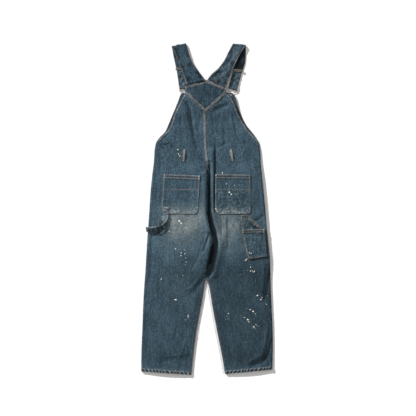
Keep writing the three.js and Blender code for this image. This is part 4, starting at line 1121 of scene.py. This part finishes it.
def denimMaterial(name, tones):
    material = bpy.data.materials.new(name)
    material.use_nodes = True
    tree = material.node_tree
    shader = tree.nodes["Principled BSDF"]
    uv = addNode(tree, "ShaderNodeUVMap", {"uv_map": "cloth"}).outputs[0]

    def noise(across, along, detail=2.0, shift=0.0):
        place = addNode(tree, "ShaderNodeMapping", None, Vector=uv, Location=(shift, shift, 0),
                        Scale=(1 / across, 1 / along, 1))
        return addNode(tree, "ShaderNodeTexNoise", {"noise_dimensions": "2D"}, Vector=place.outputs[0],
                       Scale=1.0, Detail=detail, Roughness=0.6).outputs[0]

    def combine(operation, a, b):
        return addNode(tree, "ShaderNodeMath", {"operation": operation}, i0=a, i1=b).outputs[0]

    def attribute(mark):
        return addNode(tree, "ShaderNodeAttribute", {"attribute_name": mark}).outputs["Fac"]

    def blend(factor, first, second, mode="MIX"):
        node = addNode(tree, "ShaderNodeMix", {"data_type": "RGBA", "blend_type": mode}, i0=factor)
        for socket, value in ((6, first), (7, second)):
            if isinstance(value, bpy.types.NodeSocket):
                tree.links.new(value, node.inputs[socket])
            else:
                node.inputs[socket].default_value = value
        return node.outputs[2]

    slub = noise(weave["slub"], weave["slubLength"])
    fine = noise(weave["fine"], weave["fineLength"], 3, 7.3)
    cloud = noise(0.07, 0.11, 2, 3.1)
    grain = noise(weave["grain"], weave["grain"] * 1.5, 3, 11.7)
    tone = combine("ADD", combine("MULTIPLY", slub, 0.24), combine("MULTIPLY", fine, 0.33))
    tone = combine("ADD", tone, combine("MULTIPLY", cloud, 0.22))
    tone = combine("ADD", tone, combine("MULTIPLY", grain, 0.35))
    ramp = addNode(tree, "ShaderNodeValToRGB", None, Fac=tone)
    stops = ramp.color_ramp.elements
    stops[0].position, stops[0].color = 0.42, hexColour(tones["dark"])
    stops[1].position, stops[1].color = 0.72, hexColour(tones["light"])
    middle = stops.new(0.56)
    middle.color = hexColour(tones["mid"])

    patchy = combine("ADD", combine("MULTIPLY", grain, 1.5), combine("MULTIPLY", fine, 0.9))
    faded = combine("MULTIPLY", attribute("fade"), combine("SUBTRACT", patchy, 0.35))
    faded = addNode(tree, "ShaderNodeClamp", None, Value=faded).outputs[0]
    colour = blend(faded, ramp.outputs[0], hexColour(tones["fade"]))
    speckle = addNode(tree, "ShaderNodeMapRange", None, Value=grain, i1=0.4, i2=0.62).outputs[0]
    worn = combine("MULTIPLY", attribute("wear"), combine("ADD", 0.3, combine("MULTIPLY", speckle, 0.6)))
    worn = addNode(tree, "ShaderNodeClamp", None, Value=worn).outputs[0]
    # Pale tone: wear, and on the hammer loop's rim a painted highlight
    colour = blend(worn, colour, hexColour(castTones["worn"]))
    brown = combine("MULTIPLY", attribute("sewn"), combine("ADD", 0.2, combine("MULTIPLY", fine, 0.6)))
    colour = blend(brown, colour, hexColour(castTones["brown"]))
    # Painted shade: the near-black tone goes over folds, creases, puckers and shadowed sides, as far as its
    # mark reaches
    colour = blend(attribute("deep"), colour, hexColour(castTones["deep"]))
    tree.links.new(colour, shader.inputs["Base Color"])
    shader.inputs["Roughness"].default_value = 0.92
    shader.inputs["Specular IOR Level"].default_value = 0.12
    shader.inputs["Sheen Weight"].default_value = 0.03
    shader.inputs["Sheen Roughness"].default_value = 0.6

    # Twill lines slant across the warp, drawn at twice their real pitch so that they show
    turned = addNode(tree, "ShaderNodeMapping", None, Vector=uv, Rotation=(0, 0, math.radians(63)),
                     Scale=(1 / weave["twill"], 1 / weave["twill"], 1))
    twill = addNode(tree, "ShaderNodeTexWave", {"wave_type": "BANDS", "bands_direction": "X"},
                    Vector=turned.outputs[0], Scale=0.318, Distortion=0.8, Detail=1.0)
    height = combine("ADD", combine("MULTIPLY", twill.outputs["Fac"], 0.5), combine("MULTIPLY", grain, 0.9))
    bump = addNode(tree, "ShaderNodeBump", None, Height=height, Strength=0.6, Distance=0.0003)
    tree.links.new(bump.outputs[0], shader.inputs["Normal"])
    return material


materials = {name: denimMaterial(name, tones) for name, tones in denims.items()}
print("denim")

# Topstitching: rows of thread beside each seam and edge, as one mesh for each group
thread = {"pitch": 3.6, "long": 3.0, "wide": 1.5, "high": 0.9, "sides": 6}


def stitchShape():
    sides = thread["sides"]
    points = [(-0.5, 0, -0.3)]
    for place, size in ((-0.36, 0.8), (0, 1), (0.36, 0.8)):
        for k in range(sides):
            angle = 2 * math.pi * k / sides
            points.append((place, size * math.cos(angle) / 2, size * math.sin(angle) / 2))
    points.append((0.5, 0, -0.3))
    faces = []
    for k in range(sides):
        after = (k + 1) % sides
        faces.append((0, 1 + after, 1 + k))
        for ring in (0, 1):
            first = 1 + ring * sides
            faces.append((first + k, first + after, first + sides + after, first + sides + k))
        faces.append((len(points) - 1, 1 + 2 * sides + k, 1 + 2 * sides + after))
    return np.array(points), faces


stitchPoints, stitchFaces = stitchShape()
rowsSewn = {"stitchesBack": [], "stitchesPockets": [], "stitchesStraps": [], "stitchesFront": [],
            "stitchesBlue": [], "stitchesDull": []}


# Stitches along a line in space, with the way the cloth looks at each of its points
def sewLine(group, line, facing, loose=0.12, pitch=thread["pitch"], long=thread["long"], wide=thread["wide"]):
    line = np.asarray(line, float)
    reach = reachOf(np.linalg.norm(np.diff(line, axis=0), axis=1))
    count = int(reach[-1] / pitch)
    if count < 1:
        return
    centres = (np.arange(count) + 0.5) * reach[-1] / count

    def at(places):
        return np.stack([np.interp(places, reach, line[:, k]) for k in range(3)], -1)
    facing = np.broadcast_to(np.asarray(facing, float), line.shape)
    up = np.stack([np.interp(centres, reach, facing[:, k]) for k in range(3)], -1)
    along = at(centres + pitch / 2) - at(centres - pitch / 2)
    along /= np.linalg.norm(along, axis=1, keepdims=True)
    across = np.cross(up, along)
    across /= np.maximum(np.linalg.norm(across, axis=1, keepdims=True), 1e-9)
    up = np.cross(along, across)
    shape = stitchPoints[None]
    points = at(centres)[:, None] + along[:, None] * shape[..., :1] * long
    points = points + across[:, None] * shape[..., 1:2] * wide
    points = points + up[:, None] * (shape[..., 2:] * thread["high"] + loose)
    rowsSewn[group].append(points)


def moved(path, distance):
    path = np.array(path, float)
    run = np.gradient(path, axis=0)
    run /= np.maximum(np.hypot(*run.T)[:, None], 1e-9)
    return path + np.stack([-run[:, 1], run[:, 0]], -1) * distance


# Rows at some distances to the left of a path, on a surface given by its height
def sewOn(group, path, surface, distances, trim=1.5, facing=(0, 0, 1)):
    dense = pathShares(path, np.linspace(0, 1, max(int(pathLength(path) / 2), 8)))
    for distance in distances:
        row = moved(dense, distance)
        row = pathShares(row, np.linspace(trim / pathLength(row), 1 - trim / pathLength(row), len(row)))
        height = surface(row[:, 0], row[:, 1])
        sewLine(group, withHeight(row, height), facing, 0.12 if facing[2] > 0 else -0.4)


# Short dense bar of thread that ends a seam: its middle, length and turn in degrees
def sewBar(group, x, y, long, turn, surface):
    run = np.linspace(-long / 2, long / 2, 8)
    xs, ys = x + run * math.cos(math.radians(turn)), y + run * math.sin(math.radians(turn))
    sewLine(group, np.stack([xs, ys, surface(xs, ys) + 0.35], -1), (0, 0, 1), 0.1, 1.1, 1.5, 3.0)


def backSurface(side):
    return lambda x, y: backTop(x, y, side)


def frontSurface(x, y):
    return frontUnder(x, y) + 0.35


def sewFront(path, inward):
    sewOn("stitchesFront", path, frontSurface, [inward * at for at in stitchRows["front"]], 3, (0, 0, -1))


for sideName, sign in (("left", 1), ("right", -1)):
    surface = backSurface(sideName)
    sewOn("stitchesBack", armholePaths[sideName], surface, [sign * stitchRows["armhole"][0]], 3)
    sewOn("stitchesBlue", armholePaths[sideName], surface, [sign * stitchRows["armhole"][1]], 3)
    sewOn("stitchesBack", hemPaths[sideName], surface, [sign * stitchRows["hem"]], 2)
    sewOn("stitchesBlue", inseamPaths[sideName], surface, [-sign * at for at in stitchRows["inseam"]], 6)
    sewOn("stitchesBack", yokeLowerPaths[sideName], yokeTopAt, [-sign * at for at in stitchRows["yoke"]], 4)
    for path, inward in zip(frontBands[sideName], (sign, -sign, -sign)):
        sewFront(path, inward)
seatShown = [point for point in seatTop if point[1] > 185]
seatTaken = [point for point in seatTop if point[1] < 190]
sewOn("stitchesBack", seatShown, backSurface("left"), [-at for at in stitchRows["seat"]], 4)
sewOn("stitchesBlue", seatTaken, backSurface("left"), [-at for at in stitchRows["seat"]], 4)
sewOn("stitchesBack", yokeUpper["right"], yokeTopAt, [-at for at in stitchRows["yoke"]], 5)
sewOn("stitchesBack", yokeUpper["left"], yokeTopAt, [yokeBands["upper"]], 5)
sewOn("stitchesBack", yokeEnds["left"], yokeTopAt, [stitchRows["yokeEnd"]], 3)
for path, inward in zip(bibBands, (-1, 1, -1, 1)):
    sewFront(path, inward)
for node, patch in patches.items():
    def surface(x, y, patch=patch):
        return patchTop(x, y, patch)
    left, right = patch["leftPath"], patch["rightPath"]
    mouth = patch["mouth"]
    around = left[::-1] + (right if patch["hem"] == 16 else right[:1])
    sewOn("stitchesDull", around, surface, [stitchRows["patch"][0]], 3)
    sewOn("stitchesBlue", around, surface, [stitchRows["patch"][1]], 3)
    sewOn("stitchesPockets", mouth, surface, [-stitchRows["mouth"]], 2)
    if patch["hem"]:
        sewOn("stitchesPockets", mouth, surface, [-(patch["hem"] - stitchRows["mouth"])], 2)
        for (x, y), inward in zip(mouth, (1, -1)):
            sewBar("stitchesPockets", x + inward * 5, y - 4, 9, 90, surface)
            sewBar("stitchesPockets", x + inward * 5, y - patch["hem"] + 1, 7, 0, surface)

toolSlope = [(249, -94), (171, -25)]
sewOn("stitchesPockets", toolSlope, lambda x, y: patchTop(x, y, patches["tool_pocket_large"]),
      stitchRows["slope"], 3)

# Second row across the back pockets, where the hem's facing ends
pocketFacing = {"pocket_left": [(-187.5, 86), (-33, 82)], "pocket_right": [(35, 84), (187, 82)]}
for node, path in pocketFacing.items():
    sewOn("stitchesDull", path, lambda x, y, patch=patches[node]: patchTop(x, y, patch), [0], 4)


# A line along a strip at a distance from one of its edges, on one of its faces
def stripLine(face, distance, fromRight, first, last):
    face = face[first:last, ::-1] if fromRight else face[first:last]
    steps = np.linalg.norm(np.diff(face, axis=1), axis=2)
    line = []
    for row, step in zip(face, steps):
        reach = reachOf(step)
        line.append([np.interp(distance, reach, row[:, k]) for k in range(3)])
    return np.array(line)


def sewStrip(node, distances, first=2, last=-2, shown="both"):
    outer, inner = stripGrids[node]
    away = outer - inner
    away /= np.maximum(np.linalg.norm(away, axis=2, keepdims=True), 1e-9)
    middle = away.shape[1] // 2
    for distance in distances:
        for fromRight in (False, True):
            line = stripLine(outer, distance, fromRight, first, last)
            downward = away[first:last, middle, 2] < -0.5
            line[downward, 2] += 0.45
            tan = distance < 4 and shown in ("both", "right" if fromRight else "left")
            sewLine("stitchesStraps" if tan else "stitchesBlue", line, away[first:last, middle])


def sewAcross(node, row, wide=2.6):
    outer, inner = stripGrids[node]
    away = outer[row, outer.shape[1] // 2] - inner[row, inner.shape[1] // 2]
    line = outer[row, 6:-6]
    sewLine("stitchesStraps", line, away / np.linalg.norm(away), 0.2, 1.2, 1.6, wide)


for sideName in sides:
    sewStrip(f"strap_{sideName}", stitchRows["strap"], shown=sideName)
    sewStrip(f"strap_end_{sideName}", stitchRows["strapEnd"], shown="none")
    sewStrip(f"belt_loop_{sideName}", stitchRows["beltLoop"])
    for row in (2, -3):
        sewAcross(f"belt_loop_{sideName}", row)
for row in (2, 9, -3):
    sewAcross("hammer_loop", row, 2.4)

# Topstitching thread, tan and faded or of the cloth's own blue: soft and matt
threads = {
    "tan topstitching thread": ("786960", "a39b92"),
    "blue topstitching thread": ("2c3c48", "46565f"),
    "soiled topstitching thread": ("5a5657", "8b8480"),
}


# A material that runs between two tones over noise; each stop is a place in the noise and a tone
def patchyMaterial(name, scale, detail, first, second):
    material = bpy.data.materials.new(name)
    material.use_nodes = True
    tree = material.node_tree
    shader = tree.nodes["Principled BSDF"]
    place = addNode(tree, "ShaderNodeTexCoord").outputs["Object"]
    patchy = addNode(tree, "ShaderNodeTexNoise", None, Vector=place, Scale=scale, Detail=detail).outputs[0]
    ramp = addNode(tree, "ShaderNodeValToRGB", None, Fac=patchy)
    stops = ramp.color_ramp.elements
    stops[0].position, stops[0].color = first[0], hexColour(first[1])
    stops[1].position, stops[1].color = second[0], hexColour(second[1])
    tree.links.new(ramp.outputs[0], shader.inputs["Base Color"])
    return material, tree, shader, patchy


def threadMaterial(name, main, faded):
    material, tree, shader, patchy = patchyMaterial(name, 45.0, 3.0, (0.4, main), (0.62, faded))
    shader.inputs["Roughness"].default_value = 0.8
    shader.inputs["Specular IOR Level"].default_value = 0.3
    return material


tanThread, blueThread, dullThread = (threadMaterial(name, *tones) for name, tones in threads.items())
threadOf = {"stitchesBlue": blueThread, "stitchesDull": dullThread}
trims = []
for group, sets in rowsSewn.items():
    blocks = np.concatenate(sets)
    each = blocks.shape[1]
    faces = [tuple(k * each + v for v in face) for k in range(len(blocks)) for face in stitchFaces]
    points = blocks.reshape(-1, 3)
    piece = makeMesh(group, points, faces, points[:, :2], {})
    piece.data.materials.append(threadOf.get(group, tanThread))
    trims.append((piece, "washed_denim"))
print("topstitching")

# Paint: dried drops of cream emulsion. Each is x, y, reach across, reach along and turn in degrees.
drops = [
    (-124.7, 255.4, 4.5, 4, 0), (-122, 236, 2.6, 6, 20), (-117, 227, 5.5, 2.8, -15),
    (66.2, 153.9, 3.4, 6.5, 0),
    (82.1, 107.5, 4.4, 2.6, 20), (117.8, 101.9, 3.2, 2.4, 0), (137.2, 101.9, 2.2, 1.8, 0),
    (95.5, 71.4, 4.2, 6.2, 25), (104.1, 62.4, 4, 4.6, 0), (38.3, -0.9, 3.4, 4.8, 10),
    (43.9, -10.3, 3, 4.2, 0),
    (-118.7, -51.6, 5, 6.5, 30), (-110.5, -61.5, 5.5, 6, 0), (-88.6, -82.1, 3, 3.4, 0),
    (-162.5, -95.9, 3.2, 2.8, 0), (-135, -170.3, 3.6, 3.8, 0), (-110.5, -188.3, 4, 3.2, 0),
    (-111.8, -200, 3, 3.4, 0), (-97.6, -175, 2.4, 3, 0), (-95.5, -191.8, 2.6, 3.2, 0),
    (-91.2, -209.4, 2.4, 2.6, 0), (-89.9, -227.5, 2, 3, 0), (-91.2, -238.2, 1.8, 1.8, 0),
    (-103.6, -285.1, 2.4, 1.8, 0), (-126.9, -287.7, 1.8, 1.6, 0), (-196.5, -300.1, 1.8, 7, 5),
    (-135.5, -388.7, 7.5, 4, 5), (-80.8, -460.5, 2.2, 9, -4), (-93.7, -475.2, 2.6, 2.6, 0),
    (182.3, -187.9, 4.6, 3.6, 0), (189.6, -190.5, 3.6, 3, 0), (168.5, -217.6, 2.2, 15, -42),
    (187, -249.4, 3.4, 3.2, 0), (187, -266.6, 3.2, 4.4, 20), (197, -268, 1.8, 7, 28),
    (203, -268, 1.8, 7, -28),
    (216.7, -371.1, 5.2, 4.2, 0), (236.5, -381, 3.6, 3.4, 0), (232.2, -388.7, 4.8, 4.2, 0),
    (254.6, -409.4, 1.4, 7, 50), (185.8, -431.7, 4.6, 3.2, -25), (197.4, -439.5, 5.6, 4, -35),
    (207.7, -449.4, 3.4, 2.6, 0), (160.8, -465.3, 4.2, 3.2, -20), (175, -474.7, 5.4, 4.2, -30),
    (180.2, -484.2, 2.8, 3.6, 0), (200, -504.8, 4.4, 3.8, 0), (206, -512, 1.1, 11, 40), (212, -498, 1, 9, 52),
    (92.5, -448.5, 2.8, 3.2, 0),
]
spatter = {"count": 240, "smallest": 0.7, "largest": 1.9, "spread": 30, "thick": 0.6, "scale": 0.86}


def insideOutline(x, y, outline):
    inside = False
    for (ax, ay), (bx, by) in zip(outline, outline[1:] + outline[:1]):
        if (ay > y) != (by > y) and x < ax + (bx - ax) * (y - ay) / (by - ay):
            inside = not inside
    return inside


# The cloth that shows at a place: a patch, or the back on one side of the middle seam
def showingAt(x, y):
    for node in ("tool_pocket_small", "tool_pocket_large", "pocket_left", "pocket_right"):
        if insideOutline(x, y, patches[node]["outline"]):
            return lambda u, v: patchTop(u, v, patches[node])
    seam = np.array(seatPath)
    middle = float(np.interp(y, seam[::-1, 1], seam[::-1, 0]))
    return backSurface("left" if x < middle else "right")


# The place at u, v from x, y, along axes turned by an angle
def turnedPlace(x, y, u, v, angle):
    return (x + u * math.cos(angle) - v * math.sin(angle),
            y + u * math.sin(angle) + v * math.cos(angle))


def blobOf(x, y, across, along, turn, random, sides=16):
    across, along = across * spatter["scale"], along * spatter["scale"]
    rings = [(0.35, 1.0), (0.68, 0.86), (0.88, 0.55), (1.0, 0.0)] if along > 2.3 else [(0.6, 0.8), (1.0, 0.0)]
    angle = 2 * np.pi * np.arange(sides) / sides
    edge = 0.78 + sum(random.uniform(-0.2, 0.2) * np.cos(k * angle + random.uniform(0, 6.3))
                      for k in (1, 2, 3, 4, 5))
    slant = math.radians(turn)
    places, heights = [(x, y)], [1.0]
    for share, high in rings:
        u, v = across * share * edge * np.cos(angle), along * share * edge * np.sin(angle)
        places += list(zip(*turnedPlace(x, y, u, v, slant)))
        heights += [high] * sides
    places = np.array(places)
    surface = showingAt(x, y)(places[:, 0], places[:, 1])
    thick = spatter["thick"] * min(1, along / 4) * np.array(heights)
    top = withHeight(places, surface + thick - 0.12)
    points = np.vstack([top, [[x, y, surface[0] - 0.3]]])
    faces = [(0, 1 + k, 1 + (k + 1) % sides) for k in range(sides)]
    for ring in range(len(rings) - 1):
        first = 1 + ring * sides
        faces += [(first + k, first + sides + k, first + sides + (k + 1) % sides, first + (k + 1) % sides)
                  for k in range(sides)]
    last, under = 1 + (len(rings) - 1) * sides, len(points) - 1
    faces += [(last + (k + 1) % sides, last + k, under) for k in range(sides)]
    return points, faces


def makePaint():
    random = np.random.RandomState(7)
    blobs = [blobOf(*drop, random) for drop in drops]
    for k in range(spatter["count"]):
        near = drops[random.randint(len(drops))]
        x, y = near[0] + random.normal(0, spatter["spread"]), near[1] + random.normal(0, spatter["spread"])
        size = random.uniform(spatter["smallest"], spatter["largest"]) * random.uniform(0.6, 1)
        if rimDistance(np.array(x), np.array(y)) > 9 and abs(x) < 262 and abs(x - 20) > 24:
            along, turn = size * random.uniform(0.8, 1.5), random.uniform(0, 90)
            blobs.append(blobOf(x, y, size, along, turn, random, 8))
    points, faces, count = [], [], 0
    for blobPoints, blobFaces in blobs:
        points.append(blobPoints)
        faces += [tuple(v + count for v in face) for face in blobFaces]
        count += len(blobPoints)
    points = np.concatenate(points)
    return makeMesh("paintDrops", points, faces, points[:, :2], {})


# Dried emulsion paint: cream, matt, soaked in at its edges
paintTone = {"main": "dedace", "soaked": "a9acab", "roughness": 0.6}


def paintMaterial():
    material, tree, shader, patchy = patchyMaterial(
        "dried emulsion paint", 220.0, 3.0, (0.36, paintTone["soaked"]), (0.55, paintTone["main"]))
    shader.inputs["Roughness"].default_value = paintTone["roughness"]
    bump = addNode(tree, "ShaderNodeBump", None, Height=patchy, Strength=0.4, Distance=0.0002)
    tree.links.new(bump.outputs[0], shader.inputs["Normal"])
    return material


paint = makePaint()
paint.data.materials.append(paintMaterial())
trims.append((paint, "washed_denim"))
print("paint")

# Metal: sliders, buckle wires and buttons
hardware = {
    "sliderWidth": 49, "sliderHeight": 10, "bar": 2.2, "sliderThick": 1.8, "sliderLevel": 3.8, "round": 0.55,
    "wire": 1.0, "wireLevel": 2.65, "buttonDown": 28, "cap": 8.5, "capHeight": 1.2, "shank": 2.6,
    "tack": 5, "tackLevel": 5.7, "tackHeight": 0.6,
}
buckleWire = [(-22, 0), (0, 0), (22, 0), (23, 5), (6, 17), (6.5, 28), (0, 34), (-6.5, 28), (-6, 17), (-23, 5)]


def addBox(width, height, thick, x, y, z, turn):
    bpy.ops.object.select_all(action="DESELECT")
    bpy.ops.mesh.primitive_cube_add(size=1, location=(x * mm, y * mm, z * mm), rotation=(0, 0, turn))
    box = bpy.context.object
    box.scale = (width * mm, height * mm, thick * mm)
    bpy.ops.object.transform_apply(location=True, rotation=True, scale=True)
    return box


def selectOnly(piece):
    bpy.ops.object.select_all(action="DESELECT")
    bpy.context.view_layer.objects.active = piece
    piece.select_set(True)


def applyModifier(piece, kind, **settings):
    selectOnly(piece)
    modifier = piece.modifiers.new(kind, kind)
    for name, value in settings.items():
        setattr(modifier, name, value)
    bpy.ops.object.modifier_apply(modifier=modifier.name)


def makeSlider(name, x, y, turn):
    width, height, bar = (hardware[k] for k in ("sliderWidth", "sliderHeight", "bar"))
    level = hardware["sliderLevel"] + hardware["sliderThick"] / 2
    frame = addBox(width, height, hardware["sliderThick"], x, y, level, turn)
    frame.name = name
    window = (height - 3 * bar) / 2
    for end in (-1, 1):
        away = end * (window + bar) / 2
        cx, cy = x - away * math.sin(turn), y + away * math.cos(turn)
        cutter = addBox(width - 2 * bar, window, 3 * hardware["sliderThick"], cx, cy, level, turn)
        applyModifier(frame, "BOOLEAN", operation="DIFFERENCE", object=cutter, solver="EXACT")
        bpy.data.objects.remove(cutter)
    applyModifier(frame, "BEVEL", width=hardware["round"] * mm, segments=3, limit_method="ANGLE")
    bpy.ops.object.shade_smooth_by_angle(angle=math.radians(40))
    return frame


def closedCurve(points, samples):
    around = points[-2:] + points + points[:3]
    return curveAt(around, 2 + np.arange(samples) * len(points) / samples)


def makeBuckle(name, x, y, turn):
    path = closedCurve([(across, -down) for across, down in buckleWire], 120)
    data = bpy.data.curves.new(name, "CURVE")
    data.dimensions = "3D"
    data.bevel_depth = hardware["wire"] * mm
    data.bevel_resolution = 4
    spline = data.splines.new("POLY")
    spline.points.add(len(path) - 1)
    spline.use_cyclic_u = True
    for point, (u, v) in zip(spline.points, path):
        px, py = turnedPlace(x, y, u, v, turn)
        point.co = (px * mm, py * mm, hardware["wireLevel"] * mm, 1)
    wire = bpy.data.objects.new(name, data)
    bpy.context.collection.objects.link(wire)
    selectOnly(wire)
    bpy.ops.object.convert(target="MESH")
    bpy.ops.object.shade_smooth()
    return bpy.context.object


def addDisc(radius, height, x, y, z, sides=40):
    bpy.ops.object.select_all(action="DESELECT")
    bpy.ops.mesh.primitive_cylinder_add(radius=radius * mm, depth=height * mm, vertices=sides,
                                        location=(x * mm, y * mm, (z + height / 2) * mm))
    bpy.ops.object.transform_apply(location=True, rotation=True, scale=True)
    return bpy.context.object


# Inset the face that looks up or down and press it in, as a stamped button is
def pressFace(piece, upward, inset, depth):
    for polygon in piece.data.polygons:
        polygon.select = polygon.normal.z * upward > 0.9
    bpy.ops.object.mode_set(mode="EDIT")
    bpy.ops.mesh.select_mode(type="FACE")
    bpy.ops.mesh.inset(thickness=inset * mm)
    bpy.ops.transform.translate(value=(0, 0, -upward * depth * mm))
    bpy.ops.object.mode_set(mode="OBJECT")


def makeButton(name, x, y):
    cap = addDisc(hardware["cap"], hardware["capHeight"], x, y, 0)
    pressFace(cap, -1, 1.6, 0.35)
    applyModifier(cap, "BEVEL", width=0.35 * mm, segments=3, limit_method="ANGLE")
    shankHeight = hardware["tackLevel"] - hardware["capHeight"]
    shank = addDisc(hardware["shank"], shankHeight, x, y, hardware["capHeight"], 24)
    tack = addDisc(hardware["tack"], hardware["tackHeight"], x, y, hardware["tackLevel"], 32)
    pressFace(tack, 1, 1.2, 0.15)
    applyModifier(tack, "BEVEL", width=0.2 * mm, segments=2, limit_method="ANGLE")
    bpy.ops.object.select_all(action="DESELECT")
    for part in (shank, tack, cap):
        part.select_set(True)
    bpy.context.view_layer.objects.active = cap
    bpy.ops.object.join()
    bpy.ops.object.shade_smooth_by_angle(angle=math.radians(40))
    cap.name = name
    return cap


# Brass, nickel-plated, tumbled dull: pale and soft-edged highlights, grime in its scratches
metalTone = {"main": "928e88", "grime": "55524c", "roughness": 0.42}


def metalMaterial():
    material, tree, shader, stain = patchyMaterial(
        "dull nickel-plated brass", 160.0, 4.0, (0.34, metalTone["grime"]), (0.5, metalTone["main"]))
    shader.inputs["Metallic"].default_value = 1.0
    rough = addNode(tree, "ShaderNodeMapRange", None, Value=stain, i3=0.55, i4=metalTone["roughness"] - 0.06)
    tree.links.new(rough.outputs[0], shader.inputs["Roughness"])
    return material


metal = metalMaterial()
for sideName, strap in straps.items():
    top, foot = strap["tail"]
    acrossFoot = math.atan2(foot[3] - foot[1], foot[2] - foot[0])
    acrossTop = math.atan2(top[3] - top[1], top[2] - top[0])
    bar = between(foot, top, strapShape["tailRadius"] / 90)
    barX, barY = (bar[0] + bar[2]) / 2, (bar[1] + bar[3]) / 2
    down = hardware["buttonDown"]
    sliderX, sliderY = (top[0] + top[2]) / 2, (top[1] + top[3]) / 2
    made = {
        "slider": makeSlider(f"metalSlider{sideName.title()}", sliderX, sliderY, acrossTop),
        "buckle": makeBuckle(f"metalBuckle{sideName.title()}", barX, barY, acrossFoot),
        "button": makeButton(f"metalButton{sideName.title()}", barX + down * math.sin(acrossFoot),
                             barY - down * math.cos(acrossFoot)),
    }
    for node, piece in made.items():
        piece.data.materials.clear()
        piece.data.materials.append(metal)
        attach(piece, "root")
        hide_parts(f"{node}_{sideName}")
print("metal")
for piece, slot in trims:
    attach(piece, "root")

# What each piece is made of, the slot that it follows, its cut (width, length, area) and how it lies
cuts = {
    "back_left": ("washed denim", "washed_denim", (0.34, 1.26), 0.27, "laid", ["clothFrontLeft"]),
    "back_right": ("washed denim", "washed_denim", (0.34, 1.26), 0.27, "laid", ["clothFrontRight"]),
    "front_left": ("dark denim", "dark_denim", (0.30, 0.95), 0.22, "laid", ["floor"]),
    "front_right": ("dark denim", "dark_denim", (0.30, 0.95), 0.22, "laid", ["floor"]),
    "bib_front": ("dark denim", "dark_denim", (0.46, 0.30), 0.10, "laid", ["floor"]),
    "yoke": ("dark denim", "dark_denim", (0.18, 0.15), 0.0150, "laid", ["clothBackLeft"]),
    "strap_left": ("dark denim", "dark_denim", (0.064, 0.28), None, "folded", ["floor"]),
    "strap_right": ("dark denim", "dark_denim", (0.064, 0.28), None, "folded", ["floor"]),
    "strap_end_left": ("washed denim", "washed_denim", (0.042, 0.18), None, "folded", ["floor"]),
    "strap_end_right": ("washed denim", "washed_denim", (0.039, 0.17), None, "folded", ["floor"]),
    "pocket_left": ("pocket denim", "pocket_denim", (0.158, 0.168), None, "laid", ["clothBackLeft"]),
    "pocket_right": ("pocket denim", "pocket_denim", (0.158, 0.168), None, "laid", ["clothBackRight"]),
    "tool_pocket_large": ("pocket denim", "pocket_denim", (0.12, 0.20), 0.0165, "laid", ["clothBackRight"]),
    "tool_pocket_small": ("pocket denim", "pocket_denim", (0.11, 0.13), 0.0110, "laid",
                          ["clothToolPocketLarge"]),
    "belt_loop_left": ("washed denim", "washed_denim", (0.014, 0.06), None, "laid", ["clothBackLeft"]),
    "belt_loop_right": ("washed denim", "washed_denim", (0.014, 0.06), None, "laid", ["clothBackRight"]),
    "hammer_loop": ("washed denim", "washed_denim", (0.031, 0.16), None, "laid", ["clothPocketLeft"]),
}
for node, (finish, slot, size, area, held, under) in cuts.items():
    piece = pieces[node]
    piece.data.materials.append(materials[finish])
    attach(piece, "root")
    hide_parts(node)
print("cloth rides")
